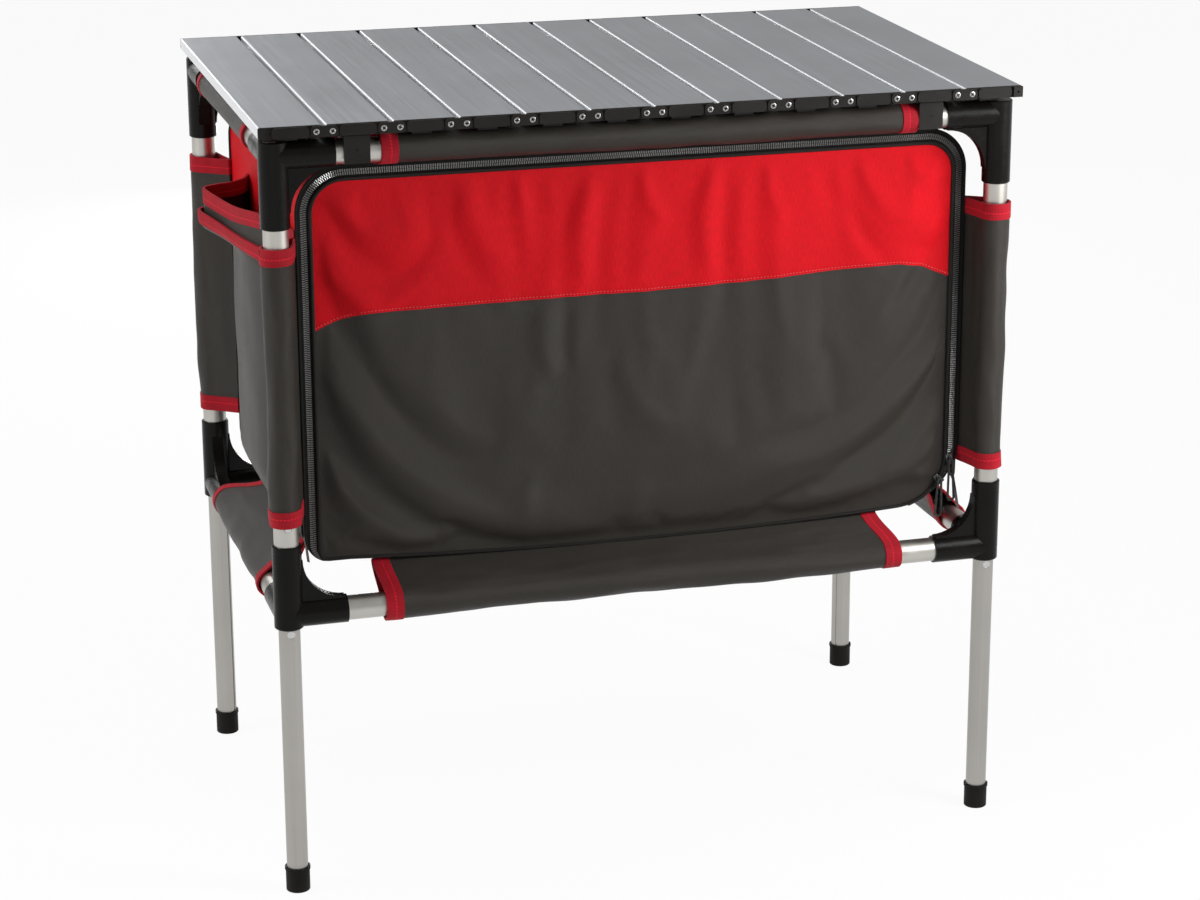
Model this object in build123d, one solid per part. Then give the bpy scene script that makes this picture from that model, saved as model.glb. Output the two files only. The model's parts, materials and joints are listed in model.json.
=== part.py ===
"""Folding camp table with a roll-up slatted top, telescoping legs and a hanging fabric organizer.

Millimetres. The floor is z = 0 and the origin is under the middle of the top.
X runs along the long side, to the right seen from the front, Y runs to the back, Z up.
"""
import math
import os

from build123d import *

# Overall size
TOP_WIDTH = 800.0
TOP_DEPTH = 500.0
TABLE_HEIGHT = 815.0

# Slats of the roll-up top
SLAT_COUNT = 12
SLAT_GAP = 4.0
SLAT_THICK = 12.0
SLAT_WALL = 1.5
SLAT_CORNER = 2.0
SLAT_LIP = 3.5
SLAT_RIB_WALL = 1.2
SLAT_RIB_DEPTH = 4.0
SLAT_RIB_OFFSET = 10.0

# Moulded end caps of the slats
CAP_FLANGE = 2.0
CAP_PLATE = 3.0
PLATE_EDGE = 0.5
PLATE_CORNER = 4.0
PLATE_TO_LINK = 1.3
PLUG_LENGTH = 32.0
PLUG_WALL = 2.0
PLUG_CLEARANCE = 0.3
FOOT_WIDTH = 20.0
FOOT_LENGTH = 14.0
END_BLOCK = 10.0
END_BLOCK_HOLE = 1.1

# Links that join neighbouring slats, on two pivots each
PIVOT_SPACING = 16.0
LINK_END = 5.75
LINK_HEIGHT = 11.0
LINK_CORNER = 4.5
LINK_CLEARANCE = 0.3
PIVOT_PIN_RADIUS = 2.0
PIVOT_CLEARANCE = 0.15
SCREW_RECESS_RADIUS = 3.5
SCREW_RECESS_DEPTH = 0.8

# Clips under the second slat from each end
CLIP_WIDTH = 26.0
CLIP_WALL = 3.0
CLIP_CLEARANCE = 0.35
CLIP_LEG_END = 10.0
CLIP_LEAD = 1.8
CLIP_LEAD_RISE = 9.0
CLIP_DIMPLE_RADIUS = 1.2
CLIP_DIMPLE_DEPTH = 0.5
CLIPPED_SLATS = (2, SLAT_COUNT - 1)

# Tubes
POST_RADIUS = 12.7
POST_WALL = 1.2
LEG_RADIUS = 11.1
LEG_WALL = 1.2
RAIL_RADIUS = 12.7
RAIL_WALL = 1.2
LEG_INSET_X = 19.5
LEG_INSET_Y = 25.0
GROOVE_WIDTH = 3.0
GROOVE_DEPTH = 0.8

# Moulded connectors
SLEEVE_RADIUS = 15.0
BRANCH_RADIUS = 14.7
BRANCH_REACH = 60.0
SOCKET_DEPTH = 35.0
SOCKET_CLEARANCE = 0.15
GUSSET_THICK = 12.0
GUSSET_SETBACK = 2.0
CONNECTOR_EDGE = 1.0
TOP_RAIL_DROP = 20.0
TOP_SLEEVE_LENGTH = 73.4
POST_TOP_COVER = 32.0
LOWER_RAIL_Z = 307.0
LOWER_SLEEVE_LENGTH = 74.4
POST_STOP = 4.0
LEG_PASS_CLEARANCE = 0.5

# Telescoping legs and their feet
LEG_OVERLAP = 48.6
FOOT_BASE = 4.0
BOOT_RADIUS = 12.5
BOOT_HEIGHT = 26.5
BOOT_RIM_RADIUS = 13.3
BOOT_RIM_HEIGHT = 3.0
BOOT_CLEARANCE = 0.1
BOOT_EDGE = 1.0

# Spring buttons that lock the legs
BUTTON_RISE = 20.0
BUTTON_RADIUS = 3.5
BUTTON_HOLE_CLEARANCE = 0.4
BUTTON_PROUD = 2.5
BUTTON_ROUND = 1.6
STOW_HOLE_DROP = 20.0
SPRING_STRIP_WIDTH = 6.0
SPRING_STRIP_THICK = 0.8
SPRING_WALL_GAP = 0.8
SPRING_FOOT = 9.0
SPRING_BEND_RISE = 24.0
SPRING_BACK_DROP = 4.0
SPRING_BACK_GAP = 4.7

# Organizer: fabric walls hung inside the frame
FABRIC = 2.4
SIDE_INSET = 25.5
FRONT_INSET = 27.3
BACK_INSET = 30.0
BOTTOM_RISE = 44.0
TOP_DROP = 18.0
TOP_LEFT_ROUND = 50.0
TOP_RIGHT_ROUND = 45.0
BOTTOM_RIGHT_ROUND = 70.0
BOTTOM_LEFT_ROUND = 25.0
SEAM_GAP = 0.3

# Front flap and its zip
FLAP_THICK = 3.0
ZIP_TAPE_WIDTH = 17.0
ZIP_TAPE_THICK = 2.0
ZIP_OVERHANG = 2.0
ZIP_CHAIN_WIDTH = 4.0
ZIP_CHAIN_PROUD = 1.2
ZIP_LEFT_END = 21.0
ZIP_RIGHT_END = 39.0
ZIP_END_RISE = 20.0
SLIDER_WIDTH = 9.0
SLIDER_LENGTH = 13.0
SLIDER_THICK = 3.0
SLIDER_GAP = 0.3
SLIDER_INSET = 10.5
SLIDER_RISE = 49.0
PARKED_SLIDER_INSET = 23.0
PARKED_SLIDER_RISE = 28.0
BAIL_RADIUS = 3.4
BAIL_WIRE = 0.7
PULL_LENGTH = 55.0
PARKED_PULL_LENGTH = 47.0
PULL_WIDTH = 8.0
PULL_CORD = 1.2

# Fabric sleeves round the tubes, and the webs that tie them to the compartment
SLEEVE_GAP = 0.3
SLEEVE_THICK = 1.2
LEG_SLEEVE_BELOW = 24.6
LEG_SLEEVE_ABOVE = 19.6
TOP_SLEEVE_LEFT_GAP = 13.5
TOP_SLEEVE_RIGHT_GAP = 1.5
SIDE_SLEEVE_FRONT_GAP = 45.0
SIDE_SLEEVE_BACK_GAP = 15.0
WEB_LEFT_GAP = 39.5
WEB_RIGHT_GAP = 41.5
SIDE_WEB_FRONT_GAP = 35.0
SIDE_WEB_BACK_GAP = 7.0

# Side pockets: outlines as the bulge out of the wall at each station back from the front
POCKET_TOP_DROP = 65.0
POCKET_RISE = 29.0
POCKET_REAR_ROUND = 60.0
POCKET_STATIONS = (8.0, -7.0, 28.0, 89.0, 158.0, 203.0, 223.0, 226.0, 284.0)
POCKET_MOUTH = (0.0, 40.0, 51.0, 61.0, 64.0, 59.0, 45.0, 27.0, 0.0)
POCKET_FOOT_STATIONS = (8.0, -2.0, 28.0, 89.0, 158.0, 203.0, 228.0, 238.0, 258.0)
POCKET_FOOT = (0.0, 24.0, 27.0, 29.0, 29.0, 28.0, 22.0, 14.0, 0.0)
OUTER_POCKET_THICK = 1.5
OUTER_POCKET_FRONT_DROP = 50.0
OUTER_POCKET_BACK_DROP = 28.0
OUTER_POCKET_FRONT = 8.0
OUTER_POCKET_BACK = 238.0

# Values worked out from the sizes above
PITCH = TOP_WIDTH / SLAT_COUNT
SLAT_WIDTH = PITCH - SLAT_GAP
SLAT_BOTTOM = TABLE_HEIGHT - SLAT_THICK
SLAT_MIDDLE = TABLE_HEIGHT - SLAT_THICK / 2
SLAT_END = TOP_DEPTH / 2 - CAP_PLATE - CAP_FLANGE
CAP_FACE = TOP_DEPTH / 2 - CAP_PLATE
TOP_RAIL_Z = SLAT_BOTTOM - TOP_RAIL_DROP
TOP_SLEEVE_END = TOP_RAIL_Z - TOP_SLEEVE_LENGTH
LOWER_SLEEVE_END = LOWER_RAIL_Z + LOWER_SLEEVE_LENGTH
BUTTON_Z = LOWER_SLEEVE_END + BUTTON_RISE
LEG_TOP = LOWER_SLEEVE_END + LEG_OVERLAP
STOW_HOLE_Z = LOWER_RAIL_Z - STOW_HOLE_DROP
LEG_X = TOP_WIDTH / 2 - LEG_INSET_X
LEG_Y = TOP_DEPTH / 2 - LEG_INSET_Y
POST_BORE = POST_RADIUS - POST_WALL
LEG_BORE = LEG_RADIUS - LEG_WALL
BRANCH_END_X = LEG_X - BRANCH_REACH
BRANCH_END_Y = LEG_Y - BRANCH_REACH
RAIL_HALF_X = BRANCH_END_X + SOCKET_DEPTH - SEAM_GAP
RAIL_HALF_Y = BRANCH_END_Y + SOCKET_DEPTH - SEAM_GAP
TOP_SLEEVE_CEILING = TOP_RAIL_Z + BRANCH_RADIUS
LOWER_SLEEVE_FLOOR = LOWER_RAIL_Z - BRANCH_RADIUS
POST_TOP = TOP_SLEEVE_CEILING - POST_TOP_COVER
POST_BOTTOM = LOWER_SLEEVE_FLOOR + POST_STOP
COVER_RADIUS = RAIL_RADIUS + SLEEVE_GAP + SLEEVE_THICK
COMPARTMENT_HALF_WIDTH = LEG_X - SIDE_INSET
COMPARTMENT_FRONT = FRONT_INSET - LEG_Y
COMPARTMENT_BACK = LEG_Y - BACK_INSET
COMPARTMENT_BOTTOM = LOWER_RAIL_Z + BOTTOM_RISE
COMPARTMENT_TOP = TOP_RAIL_Z - TOP_DROP
CLIP_INNER_END = TOP_WIDTH / 2 - 1.5 * PITCH - CLIP_WIDTH / 2
POCKET_TOP = COMPARTMENT_TOP - POCKET_TOP_DROP
POCKET_BOTTOM = COMPARTMENT_BOTTOM + POCKET_RISE
FLAP_BACK = COMPARTMENT_FRONT - SEAM_GAP
FLAP_FACE = FLAP_BACK - FLAP_THICK
ZIP_FACE = FLAP_BACK - ZIP_TAPE_THICK
CHAIN_FACE = ZIP_FACE - ZIP_CHAIN_PROUD
SLIDER_FACE = CHAIN_FACE - SLIDER_GAP - SLIDER_THICK
ZIP_HALF_WIDTH = COMPARTMENT_HALF_WIDTH + ZIP_OVERHANG
SLIDER_PLACE = (ZIP_HALF_WIDTH - SLIDER_INSET, COMPARTMENT_BOTTOM + SLIDER_RISE)
PARKED_SLIDER_PLACE = (
    ZIP_HALF_WIDTH - PARKED_SLIDER_INSET, COMPARTMENT_BOTTOM + PARKED_SLIDER_RISE,
)

CORNERS = {
    "front_left": (-1, -1),
    "front_right": (1, -1),
    "rear_left": (-1, 1),
    "rear_right": (1, 1),
}


def rod(axis, radius, start, end, first, second):
    """Cylinder along one axis from start to end, at the two other coordinates."""
    middle = (start + end) / 2
    if axis == "X":
        place = Pos(middle, first, second) * Rot(0, 90, 0)
    elif axis == "Y":
        place = Pos(first, middle, second) * Rot(90, 0, 0)
    else:
        place = Pos(first, second, middle)
    return place * Cylinder(radius, abs(end - start))


def block(x0, x1, y0, y1, z0, z1):
    """Box between two corners."""
    size = Box(abs(x1 - x0), abs(y1 - y0), abs(z1 - z0))
    return Pos((x0 + x1) / 2, (y0 + y1) / 2, (z0 + z1) / 2) * size


def tube(axis, radius, wall, start, end, first, second):
    """Open tube along one axis."""
    outside = rod(axis, radius, start, end, first, second)
    return outside - rod(axis, radius - wall, start, end, first, second)


def on_end_face(sketch, x, z, y, depth):
    """Extrude a sketch drawn in X and Z by depth towards the front, from the plane at y."""
    plane = Plane(origin=(x, y, z), x_dir=(1, 0, 0), z_dir=(0, -1, 0))
    return extrude(plane * sketch, amount=depth)


def to_end(shape, side):
    """A piece drawn at the front end, kept there or mirrored to the back."""
    return shape if side < 0 else mirror(shape, about=Plane.XZ)


def prism(plane, points, length):
    """Straight bar of a closed outline, from a plane along its normal."""
    return extrude(plane * Polygon(*points, align=None), amount=length, dir=plane.z_dir)


def slat_centre(index):
    """Middle of a slat, counted from 1 at the left."""
    return -TOP_WIDTH / 2 + PITCH * (index - 0.5)


def seam(index):
    """Gap between a slat and the next one."""
    return -TOP_WIDTH / 2 + PITCH * index


def slat(index):
    """Aluminium extrusion: an inverted channel with lips and two stiffening ribs."""
    inner = SLAT_WIDTH - 2 * SLAT_WALL
    profile = RectangleRounded(SLAT_WIDTH, SLAT_THICK, SLAT_CORNER)
    profile -= Rectangle(inner, SLAT_THICK - 2 * SLAT_WALL)
    profile -= Pos(0, -SLAT_THICK / 2) * Rectangle(inner - 2 * SLAT_LIP, SLAT_THICK / 2)
    rib_middle = SLAT_THICK / 2 - SLAT_WALL - SLAT_RIB_DEPTH / 2
    for side in (-1, 1):
        rib = Rectangle(SLAT_RIB_WALL, SLAT_RIB_DEPTH + SLAT_WALL)
        profile += Pos(side * SLAT_RIB_OFFSET, rib_middle + SLAT_WALL / 2) * rib
    return on_end_face(profile, slat_centre(index), SLAT_MIDDLE, SLAT_END, 2 * SLAT_END)


def support_radius(index):
    """Radius of what a slat's rest lands on: a connector at the ends, else the sleeved rail."""
    return BRANCH_RADIUS if index in (1, SLAT_COUNT) else COVER_RADIUS


def raised_plate(index):
    """Plate on the cap that fills the space between two links."""
    reach = PIVOT_SPACING / 2 + LINK_END + PLATE_TO_LINK
    width = PITCH - 2 * reach
    sketch = RectangleRounded(width, SLAT_THICK - 2 * PLATE_EDGE, PLATE_CORNER)
    return on_end_face(sketch, slat_centre(index), SLAT_MIDDLE, -CAP_FACE, CAP_PLATE)


def slat_cap(index):
    """Moulded cap of a slat's front end: flange, plug, raised plate, pivot pins and rail rest."""
    x = slat_centre(index)
    flange = RectangleRounded(SLAT_WIDTH, SLAT_THICK, SLAT_CORNER)
    cap = on_end_face(flange, x, SLAT_MIDDLE, -SLAT_END, CAP_FLANGE)
    cap += raised_plate(index)
    half = SLAT_WIDTH / 2 - SLAT_WALL - PLUG_CLEARANCE
    roof = TABLE_HEIGHT - SLAT_WALL - PLUG_CLEARANCE
    floor = SLAT_BOTTOM + SLAT_WALL + PLUG_CLEARANCE
    inner_end = -SLAT_END + PLUG_LENGTH
    rib_floor = TABLE_HEIGHT - SLAT_WALL - SLAT_RIB_DEPTH - PLUG_CLEARANCE
    plug = block(x - half, x + half, -SLAT_END, inner_end, floor, roof)
    for side in (-1, 1):
        hollow = half - SLAT_RIB_OFFSET - SLAT_RIB_WALL / 2 - PLUG_CLEARANCE - 2 * PLUG_WALL
        middle = x + side * (half - PLUG_WALL - hollow / 2)
        plug -= block(
            middle - hollow / 2, middle + hollow / 2,
            -SLAT_END + PLUG_WALL, inner_end - PLUG_WALL, floor, roof - PLUG_WALL,
        )
        rib_half = SLAT_RIB_WALL / 2 + PLUG_CLEARANCE
        rib_x = x + side * SLAT_RIB_OFFSET
        plug -= block(rib_x - rib_half, rib_x + rib_half, -SLAT_END, inner_end, rib_floor, roof)
    cap += plug
    for side, present in ((-1, index > 1), (1, index < SLAT_COUNT)):
        if present:
            pin_x = x + side * (PITCH / 2 - PIVOT_SPACING / 2)
            pin_end = -TOP_DEPTH / 2 + SCREW_RECESS_DEPTH
            cap += rod("Y", PIVOT_PIN_RADIUS, pin_end, -CAP_FACE, pin_x, SLAT_MIDDLE)
    if index == SLAT_COUNT:
        outer = x + SLAT_WIDTH / 2
        square = Rectangle(END_BLOCK, SLAT_THICK - 2 * PLATE_EDGE)
        end_x = outer - PLATE_EDGE - END_BLOCK / 2
        cap += on_end_face(square, end_x, SLAT_MIDDLE, -CAP_FACE, CAP_PLATE)
        cap -= rod("Y", END_BLOCK_HOLE, -TOP_DEPTH / 2, -CAP_FACE, end_x, SLAT_MIDDLE)
    if index not in CLIPPED_SLATS:
        landing = TOP_RAIL_Z + support_radius(index) + SEAM_GAP
        cap += block(
            x - FOOT_WIDTH / 2, x + FOOT_WIDTH / 2,
            -LEG_Y - FOOT_LENGTH / 2, -LEG_Y + FOOT_LENGTH / 2, landing, floor + PLUG_WALL,
        )
    return cap


def rail_clip(index):
    """Clip under a slat's front end: two legs astride the rail, flared inside at their tips."""
    x = slat_centre(index)
    inner = RAIL_RADIUS + CLIP_CLEARANCE
    outer = inner + CLIP_WALL
    leg_end = TOP_RAIL_Z - CLIP_LEG_END
    crown = SLAT_BOTTOM - SLAT_GAP / 2
    left, right = x - CLIP_WIDTH / 2, x + CLIP_WIDTH / 2
    clip = block(left, right, -LEG_Y - outer, -LEG_Y + outer, leg_end, crown)
    clip -= rod("X", inner, left, right, -LEG_Y, TOP_RAIL_Z)
    clip -= block(left, right, -LEG_Y - inner, -LEG_Y + inner, leg_end, TOP_RAIL_Z)
    lead_top, lead_foot = inner, inner + CLIP_LEAD
    lead = [
        (-lead_foot - LEG_Y, leg_end), (lead_foot - LEG_Y, leg_end),
        (lead_top - LEG_Y, leg_end + CLIP_LEAD_RISE), (-lead_top - LEG_Y, leg_end + CLIP_LEAD_RISE),
    ]
    clip -= prism(Plane.YZ.offset(left), lead, CLIP_WIDTH)
    neck = FOOT_WIDTH / 2
    seat = SLAT_BOTTOM + SLAT_WALL + PLUG_CLEARANCE
    clip += block(
        x - neck, x + neck, -LEG_Y - FOOT_LENGTH / 2, -LEG_Y + FOOT_LENGTH / 2, crown, seat,
    )
    dimple_y = -LEG_Y - outer
    dimple_z = (crown + leg_end) / 2
    clip -= rod("Y", CLIP_DIMPLE_RADIUS, dimple_y, dimple_y + CLIP_DIMPLE_DEPTH, x, dimple_z)
    return clip


def slat_caps(index):
    """Both end caps of one slat, with the clips on the slats that have them."""
    pieces = []
    for side in (-1, 1):
        pieces.append(to_end(slat_cap(index), side))
        if index in CLIPPED_SLATS:
            pieces.append(to_end(rail_clip(index), side))
    return pieces


def links(index):
    """The two links over one seam, front and back."""
    width = PIVOT_SPACING + 2 * LINK_END
    thick = CAP_PLATE - LINK_CLEARANCE
    base = -CAP_FACE - LINK_CLEARANCE
    plate = RectangleRounded(width, LINK_HEIGHT, LINK_CORNER)
    link = on_end_face(plate, seam(index), SLAT_MIDDLE, base, thick)
    for side in (-1, 1):
        x = seam(index) + side * PIVOT_SPACING / 2
        bore = PIVOT_PIN_RADIUS + PIVOT_CLEARANCE
        link -= rod("Y", bore, -TOP_DEPTH / 2, base, x, SLAT_MIDDLE)
        recess_end = -TOP_DEPTH / 2 + SCREW_RECESS_DEPTH
        link -= rod("Y", SCREW_RECESS_RADIUS, -TOP_DEPTH / 2, recess_end, x, SLAT_MIDDLE)
    return [to_end(link, side) for side in (-1, 1)]


def gusset(axis, sx, sy, branch_z, up):
    """Web in the corner between a branch and its sleeve, with a concave round edge."""
    leg = LEG_X if axis == "X" else LEG_Y
    inner = leg - BRANCH_REACH + GUSSET_SETBACK
    curve = leg - SLEEVE_RADIUS - inner
    far = branch_z + up * (BRANCH_RADIUS + curve)
    near, low, high = inner, min(branch_z, far), max(branch_z, far)
    half = GUSSET_THICK / 2
    if axis == "X":
        y = sy * LEG_Y
        web = block(sx * near, sx * leg, y - half, y + half, low, high)
        return web - rod("Y", curve, y - half, y + half, sx * inner, far)
    x = sx * LEG_X
    web = block(x - half, x + half, sy * near, sy * leg, low, high)
    return web - rod("X", curve, x - half, x + half, sy * inner, far)


def branches(sx, sy, z, radius):
    """Two horizontal arms of a connector, towards the middle of the table."""
    along_x = rod("X", radius, sx * BRANCH_END_X, sx * LEG_X, sy * LEG_Y, z)
    along_y = rod("Y", radius, sy * BRANCH_END_Y, sy * LEG_Y, sx * LEG_X, z)
    return along_x, along_y


def sockets(sx, sy, z):
    """Bores of the two arms, where the rails go in."""
    bore = RAIL_RADIUS + SOCKET_CLEARANCE
    end_x = BRANCH_END_X + SOCKET_DEPTH
    end_y = BRANCH_END_Y + SOCKET_DEPTH
    along_x = rod("X", bore, sx * BRANCH_END_X, sx * end_x, sy * LEG_Y, z)
    along_y = rod("Y", bore, sy * BRANCH_END_Y, sy * end_y, sx * LEG_X, z)
    return along_x, along_y


def connector(sx, sy, branch_z, sleeve_low, sleeve_high, up):
    """Three-way moulded corner: upright sleeve, two arms and their gussets."""
    x, y = sx * LEG_X, sy * LEG_Y
    sleeve = rod("Z", SLEEVE_RADIUS, sleeve_low, sleeve_high, x, y)
    rims = sleeve.edges().filter_by(GeomType.CIRCLE)
    body = chamfer(rims, CONNECTOR_EDGE)
    for arm in branches(sx, sy, branch_z, BRANCH_RADIUS):
        body += arm
    for axis in ("X", "Y"):
        body += gusset(axis, sx, sy, branch_z, up)
    for hole in sockets(sx, sy, branch_z):
        body -= hole
    return body


def top_connector(sx, sy):
    """Corner under the top, closed above, that takes the post from below."""
    body = connector(sx, sy, TOP_RAIL_Z, TOP_SLEEVE_END, TOP_SLEEVE_CEILING, -1)
    bore = POST_RADIUS + SOCKET_CLEARANCE
    return body - rod("Z", bore, TOP_SLEEVE_END, POST_TOP + SEAM_GAP, sx * LEG_X, sy * LEG_Y)


def lower_connector(sx, sy):
    """Corner at the lower rails: the post stands on a stop and the leg passes through it."""
    x, y = sx * LEG_X, sy * LEG_Y
    body = connector(sx, sy, LOWER_RAIL_Z, LOWER_SLEEVE_FLOOR, LOWER_SLEEVE_END, 1)
    body -= rod("Z", POST_RADIUS + SOCKET_CLEARANCE, POST_BOTTOM, LOWER_SLEEVE_END, x, y)
    passage = LEG_RADIUS + LEG_PASS_CLEARANCE
    return body - rod("Z", passage, LOWER_SLEEVE_FLOOR, POST_BOTTOM, x, y)


def button_hole(sx, sy, z, inner, outer):
    """Round window for the spring button, on the leg's outer side."""
    radius = BUTTON_RADIUS + BUTTON_HOLE_CLEARANCE
    y = sy * LEG_Y
    return rod("Y", radius, y + sy * inner, y + sy * outer, sx * LEG_X, z)


def post(sx, sy):
    """Upper tube of a leg, with the window of its spring button."""
    shape = tube("Z", POST_RADIUS, POST_WALL, POST_BOTTOM, POST_TOP, sx * LEG_X, sy * LEG_Y)
    return shape - button_hole(sx, sy, BUTTON_Z, POST_BORE / 2, SLEEVE_RADIUS)


def lower_leg(sx, sy):
    """Sliding tube with a guide groove on its inner side and two button holes."""
    x, y = sx * LEG_X, sy * LEG_Y
    shape = tube("Z", LEG_RADIUS, LEG_WALL, FOOT_BASE + SEAM_GAP, LEG_TOP, x, y)
    groove = Box(GROOVE_WIDTH, 2 * GROOVE_DEPTH, LEG_TOP - BOOT_HEIGHT)
    turn = math.degrees(math.atan2(sx, -sy))
    middle = (LEG_TOP + BOOT_HEIGHT) / 2
    shape -= Pos(x, y, middle) * Rot(0, 0, turn) * Pos(0, LEG_RADIUS, 0) * groove
    for z in (BUTTON_Z, STOW_HOLE_Z):
        shape -= button_hole(sx, sy, z, LEG_BORE / 2, POST_RADIUS)
    return shape


def leg_foot(sx, sy):
    """Rubber boot on the leg's end, with a rim round its mouth."""
    x, y = sx * LEG_X, sy * LEG_Y
    body = rod("Z", BOOT_RADIUS, 0, BOOT_HEIGHT, x, y)
    body = fillet(body.edges().filter_by(GeomType.CIRCLE).sort_by(Axis.Z)[0], BOOT_EDGE)
    body += rod("Z", BOOT_RIM_RADIUS, BOOT_HEIGHT - BOOT_RIM_HEIGHT, BOOT_HEIGHT, x, y)
    return body - rod("Z", LEG_RADIUS + BOOT_CLEARANCE, FOOT_BASE, BOOT_HEIGHT, x, y)


def snap_button(sx, sy):
    """One-piece spring inside the leg: a bent strip with a round button on its end."""
    y, z = sy * LEG_Y, BUTTON_Z
    face = LEG_BORE - SPRING_WALL_GAP
    inside = face - SPRING_STRIP_THICK
    bend = z + SPRING_BEND_RISE
    foot = z - SPRING_FOOT
    heel = z - SPRING_BACK_DROP
    heel_y = SPRING_BACK_GAP - LEG_BORE
    outline = [
        (face, foot), (face, z + SPRING_FOOT), (0, bend), (heel_y, heel),
        (heel_y + SPRING_STRIP_THICK, heel), (0, bend - 2 * SPRING_STRIP_THICK),
        (inside, z + SPRING_FOOT), (inside, foot),
    ]
    points = [(y + sy * across, height) for across, height in outline]
    edge = sx * LEG_X - SPRING_STRIP_WIDTH / 2
    plane = Plane(origin=(edge, 0, 0), x_dir=(0, 1, 0), z_dir=(1, 0, 0))
    strip = prism(plane, points, SPRING_STRIP_WIDTH)
    proud = POST_RADIUS + BUTTON_PROUD
    knob = rod("Y", BUTTON_RADIUS, y + sy * inside, y + sy * proud, sx * LEG_X, z)
    rim = knob.edges().filter_by(GeomType.CIRCLE).sort_by(Axis.Y)[-1 if sy > 0 else 0]
    return strip + fillet(rim, BUTTON_ROUND)


def rails(z):
    """Front, back, left and right tubes at one height."""
    return [
        tube("X", RAIL_RADIUS, RAIL_WALL, -RAIL_HALF_X, RAIL_HALF_X, side * LEG_Y, z)
        for side in (-1, 1)
    ] + [
        tube("Y", RAIL_RADIUS, RAIL_WALL, -RAIL_HALF_Y, RAIL_HALF_Y, side * LEG_X, z)
        for side in (-1, 1)
    ]


def rounded_outline(half_width, low, high, inset):
    """Front outline of the compartment, with its four different corners, drawn in X and Z."""
    left, right = -half_width + inset, half_width - inset
    bottom, top = low, high - inset
    corners = [
        (left, bottom, BOTTOM_LEFT_ROUND), (right, bottom, BOTTOM_RIGHT_ROUND),
        (right, top, TOP_RIGHT_ROUND), (left, top, TOP_LEFT_ROUND),
    ]
    outline = Polygon(*[(x, z) for x, z, _ in corners], align=None)
    for x, z, radius in corners:
        vertex = outline.vertices().sort_by_distance((x, z, 0))[0]
        outline = fillet(vertex, radius - inset)
    return outline


def organizer_shell():
    """Compartment of flat fabric walls and rounded corners, open at the front."""
    half, low, high = COMPARTMENT_HALF_WIDTH, COMPARTMENT_BOTTOM, COMPARTMENT_TOP
    front, back = COMPARTMENT_FRONT, COMPARTMENT_BACK
    depth = back - front
    ring = rounded_outline(half, low, high, 0)
    hole = Pos(0, FABRIC) * rounded_outline(half, low, high - FABRIC, FABRIC)
    band = on_end_face(ring - hole, 0, 0, back, depth)
    rear = on_end_face(ring, 0, 0, back + SEAM_GAP + FABRIC, FABRIC)
    cuts = [
        (-half, -half + BOTTOM_LEFT_ROUND, low, low + BOTTOM_LEFT_ROUND),
        (half - BOTTOM_RIGHT_ROUND, half, low, low + BOTTOM_RIGHT_ROUND),
        (half - TOP_RIGHT_ROUND, half, high - TOP_RIGHT_ROUND, high),
        (-half, -half + TOP_LEFT_ROUND, high - TOP_LEFT_ROUND, high),
    ]
    pieces = []
    straight = band
    for x0, x1, z0, z1 in cuts:
        corner = block(x0, x1, front, back, z0, z1)
        pieces.append(band & corner)
        straight -= corner
    return pieces + straight.solids() + [rear]


def pocket_section(side, stations, bulges, z, growth):
    """Level outline of a pocket at one height, grown outwards or shrunk."""
    wall = COMPARTMENT_HALF_WIDTH + SEAM_GAP
    points = [
        (side * (wall + out), COMPARTMENT_FRONT + back) for back, out in zip(stations, bulges)
    ]
    face = make_face(Polyline(*points, close=True))
    if growth:
        face = offset(face, growth, kind=Kind.INTERSECTION)
    return Pos(0, 0, z) * face


def pocket_body(side, growth, rise):
    """Solid of a pocket between its foot and its mouth, with the round lower rear corner."""
    low = POCKET_BOTTOM + rise
    body = loft(
        [
            pocket_section(side, POCKET_FOOT_STATIONS, POCKET_FOOT, low, growth),
            pocket_section(side, POCKET_STATIONS, POCKET_MOUTH, POCKET_TOP, growth),
        ],
        ruled=True,
    )
    near = COMPARTMENT_FRONT + POCKET_STATIONS[1] - POCKET_REAR_ROUND
    far = COMPARTMENT_FRONT + POCKET_STATIONS[-1] - rise
    high = POCKET_TOP + POCKET_REAR_ROUND
    sketch = Polygon((near, low), (far, low), (far, high), (near, high), align=None)
    corner = sketch.vertices().sort_by_distance((far, low, 0))[0]
    reach = 2 * COMPARTMENT_HALF_WIDTH
    plane = Plane(origin=(-reach, 0, 0), x_dir=(0, 1, 0), z_dir=(1, 0, 0))
    mask = extrude(plane * fillet(corner, POCKET_REAR_ROUND), amount=2 * reach, dir=plane.z_dir)
    return body & mask


def side_pocket(side):
    """Open-topped pouch on a side wall, wider at its mouth than at its foot."""
    return pocket_body(side, 0, 0) - pocket_body(side, -FABRIC, FABRIC)


def outer_pocket(side):
    """Second layer sewn on the pouch, open along a sloping upper edge."""
    skin = pocket_body(side, SEAM_GAP + OUTER_POCKET_THICK, 0) - pocket_body(side, SEAM_GAP, 0)
    wall = COMPARTMENT_HALF_WIDTH + SEAM_GAP
    front, back = COMPARTMENT_FRONT + OUTER_POCKET_FRONT, COMPARTMENT_FRONT + OUTER_POCKET_BACK
    outline = [
        (front, POCKET_BOTTOM), (front, POCKET_TOP - OUTER_POCKET_FRONT_DROP),
        (back, POCKET_TOP - OUTER_POCKET_BACK_DROP), (back, POCKET_BOTTOM),
    ]
    near, far = wall + POCKET_FOOT[-2], 2 * wall
    start = near if side > 0 else -far
    plane = Plane(origin=(start, 0, 0), x_dir=(0, 1, 0), z_dir=(1, 0, 0))
    return skin & prism(plane, outline, far - near)


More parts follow.
